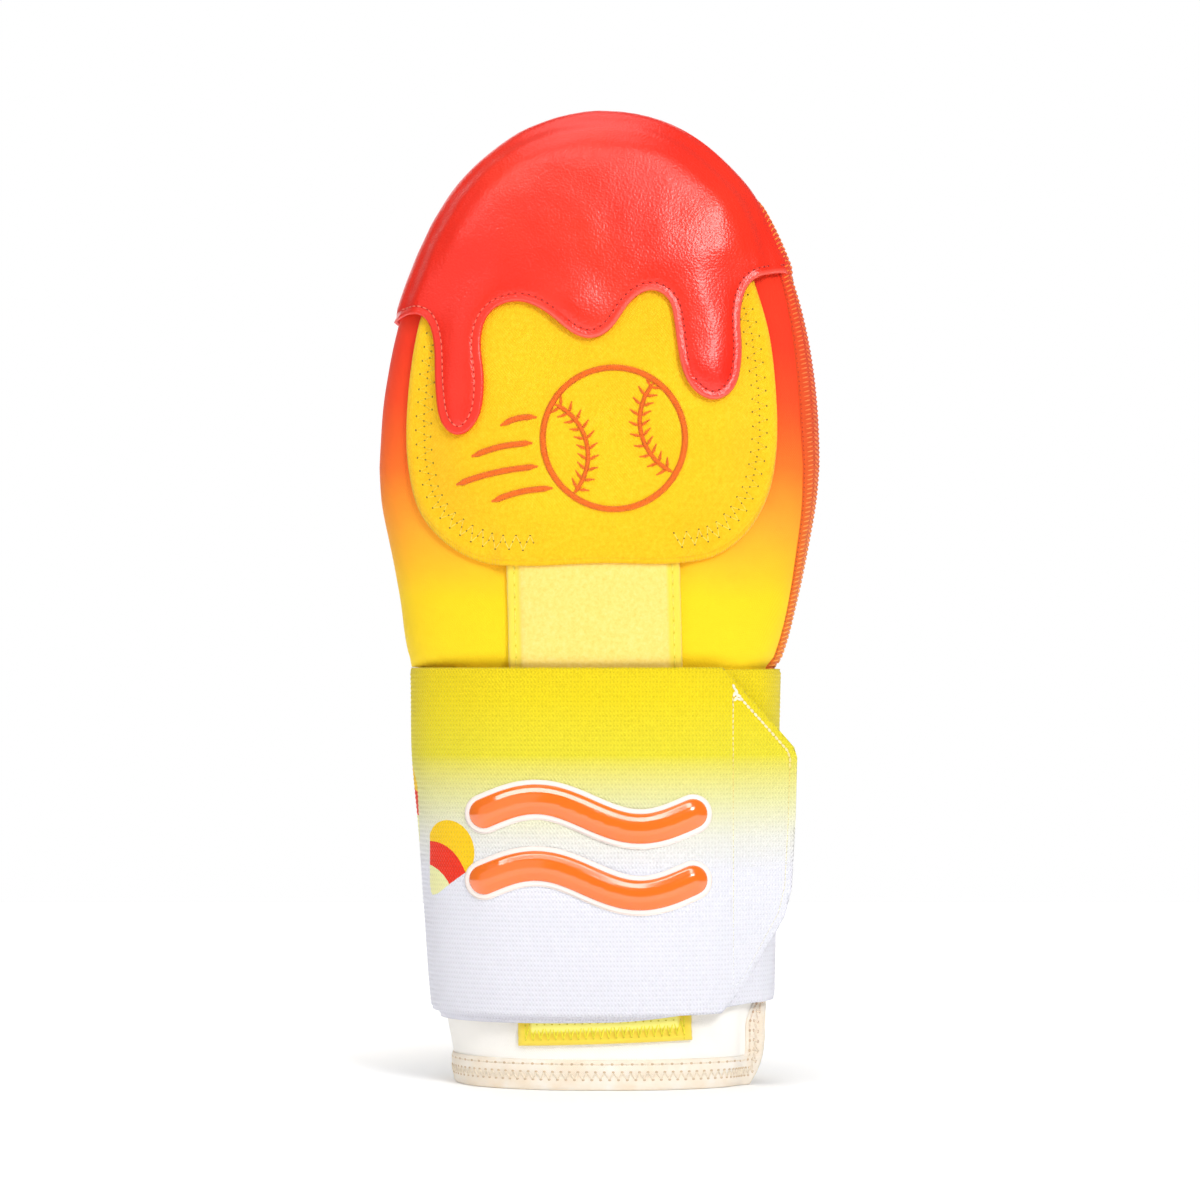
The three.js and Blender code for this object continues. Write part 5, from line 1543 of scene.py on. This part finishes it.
beads = []
border = inside_line(even_line(np.array(TAB_OUTLINE), 1.0), -TAB_INSET)
border = border[(border[:, 0] > STRAP_END_X + 0.6) & (border[:, 1] < 117)]
crease = np.column_stack([np.full(80, STRAP_END_X + 0.4), np.linspace(113, 28, 80)])
on_corner = border[:, 1] > CORNER_Z
for line_xz, size in ((border[on_corner], CORNER_THREAD), (border[~on_corner], EDGE_THREAD),
                      (crease, CREASE_THREAD)):
    sew_line(beads, strap_surface, on_tab(line_xz), END_PITCH, size, END_HOLE)
at, out = drop(strap_surface, on_tab(np.array(KNOT)))
lay_beads(beads, at, np.roll(at, 1, axis=0) - at, out, KNOT_THREAD)
finish_beads(beads, "strap_end_stitches", end_thread)

# %% [markdown]
# ## Embroidery on the pad
# The middle of the pad carries a machine-embroidered baseball with speed lines. Satin stitch lays threads
# side by side across a narrow line, so each thread here is a bead turned across the line, and a column of
# them stands up round in the middle and darkens at both edges, partly by its round form and partly by shade
# painted on the threads' ends. The picture is a circle, two seams and the speed lines.

# %% Satin thread
# Rayon embroidery thread is glossier than sewing thread. Its ends go down into the cloth, and there they are
# painted darker as shade. The threads are drawn 0.55 mm apart, half as many as there are, so that they still
# show.
satin_thread = thread_material("orange_rayon_embroidery_thread", [(160, "#F87A1C"), (215, "#F47418")],
                               [(160, "#B84A0C")], rough=0.38)
SATIN_PITCH, SATIN_THREAD, SATIN_HIGH, SATIN_SLANT = 0.55, 0.66, 1.2, 0.45
SATIN_SHAPE = bead_shape(6, 8)
# Both ends of each satin thread are painted darker, as shade where it goes down into the cloth
SATIN_PAINTED_SHADE = 0.75 * smoothstep(np.abs(SATIN_SHAPE[0][:, 2]), 0.3, 0.5)


def sew_satin(beads, surface, flat_line, width):
    """A column of satin stitch along a flat line, tapered at its two ends unless the line is closed."""
    line = even_line(flat_line, SATIN_PITCH)
    run = unit(np.gradient(line, axis=0))
    at, out = drop(surface, lay_front(*line.T, pad_lift))
    across = np.column_stack([-run[:, 1], np.zeros(len(run)), run[:, 0]])
    across += SATIN_SLANT * np.column_stack([run[:, 0], np.zeros(len(run)), run[:, 1]])
    closed = np.linalg.norm(flat_line[0] - flat_line[-1]) < 0.01
    reach = np.minimum(np.arange(len(line)), np.arange(len(line))[::-1]) * SATIN_PITCH
    share = np.ones(len(line)) if closed else 0.45 + 0.55 * smoothstep(reach, 0.0, 2.5)
    for step in np.unique(np.round(share, 1)):
        same = np.round(share, 1) == step
        size = (width * step, SATIN_THREAD, SATIN_HIGH * step)
        lay_beads(beads, at[same], across[same], out[same], size, SATIN_SHAPE, SATIN_PAINTED_SHADE, up=0.1)


# %% Draw the ball and its speed lines, and sew them
BALL_AT, BALL_RADIUS, BALL_TILT = (4.0, 187.5), 20.5, 12.0
SEAM_AT, SEAM_RADIUS, SEAM_SPAN = 24.5, 16.5, 54.0
STROKE_WIDE, SEAM_WIDE, BARB_WIDE = 2.1, 1.5, 1.2
BARB_LONG, BARB_LEAN, BARB_EVERY = 3.3, 1.9, 10.5
# Each speed line: its height, and where it starts and ends, in the ball's own tilted millimetres
SPEED_LINES = [(10.5, -31.0, -20.5), (3.5, -41.0, -23.5), (-3.5, -47.0, -23.0), (-10.5, -38.0, -20.5)]


def tilted(points):
    """Turns the ball's own millimetres to places on the pad, seen from the front."""
    angle = math.radians(BALL_TILT)
    turn = np.array([(math.cos(angle), math.sin(angle)), (-math.sin(angle), math.cos(angle))])
    return np.asarray(points, float) @ turn + BALL_AT


def arc(middle, radius, start, end, count=60):
    """Points of an arc, from one angle in degrees to another."""
    angle = np.radians(np.linspace(start, end, count))
    return np.column_stack([middle[0] + radius * np.cos(angle), middle[1] + radius * np.sin(angle)])


beads = []
sew_satin(beads, pad_surface, tilted(arc((0, 0), BALL_RADIUS, 0, 360, 180)), STROKE_WIDE)
for side in (-1, 1):
    facing = 0 if side < 0 else 180
    sew_satin(beads, pad_surface, tilted(arc((side * SEAM_AT, 0), SEAM_RADIUS, facing - SEAM_SPAN,
                                             facing + SEAM_SPAN)), SEAM_WIDE)
    for angle in np.arange(-SEAM_SPAN + 6, SEAM_SPAN - 5, BARB_EVERY):
        foot = arc((side * SEAM_AT, 0), SEAM_RADIUS, facing + angle, facing + angle, 1)[0]
        away = (foot - (side * SEAM_AT, 0)) / SEAM_RADIUS
        upward = np.array((-away[1], away[0])) * (-side)
        for out_way in (-1, 1):
            tip = foot + BARB_LONG * out_way * away + BARB_LEAN * upward
            sew_satin(beads, pad_surface, tilted(np.linspace(foot, tip, 12)), BARB_WIDE)
for height, start, end in SPEED_LINES:
    u = np.linspace(start, end, 40)
    bow = 0.9 * np.sin(math.pi * (u - start) / (end - start))
    sew_satin(beads, pad_surface, tilted(np.column_stack([u, height + bow])), STROKE_WIDE)
finish_beads(beads, "pad_embroidery", satin_thread)
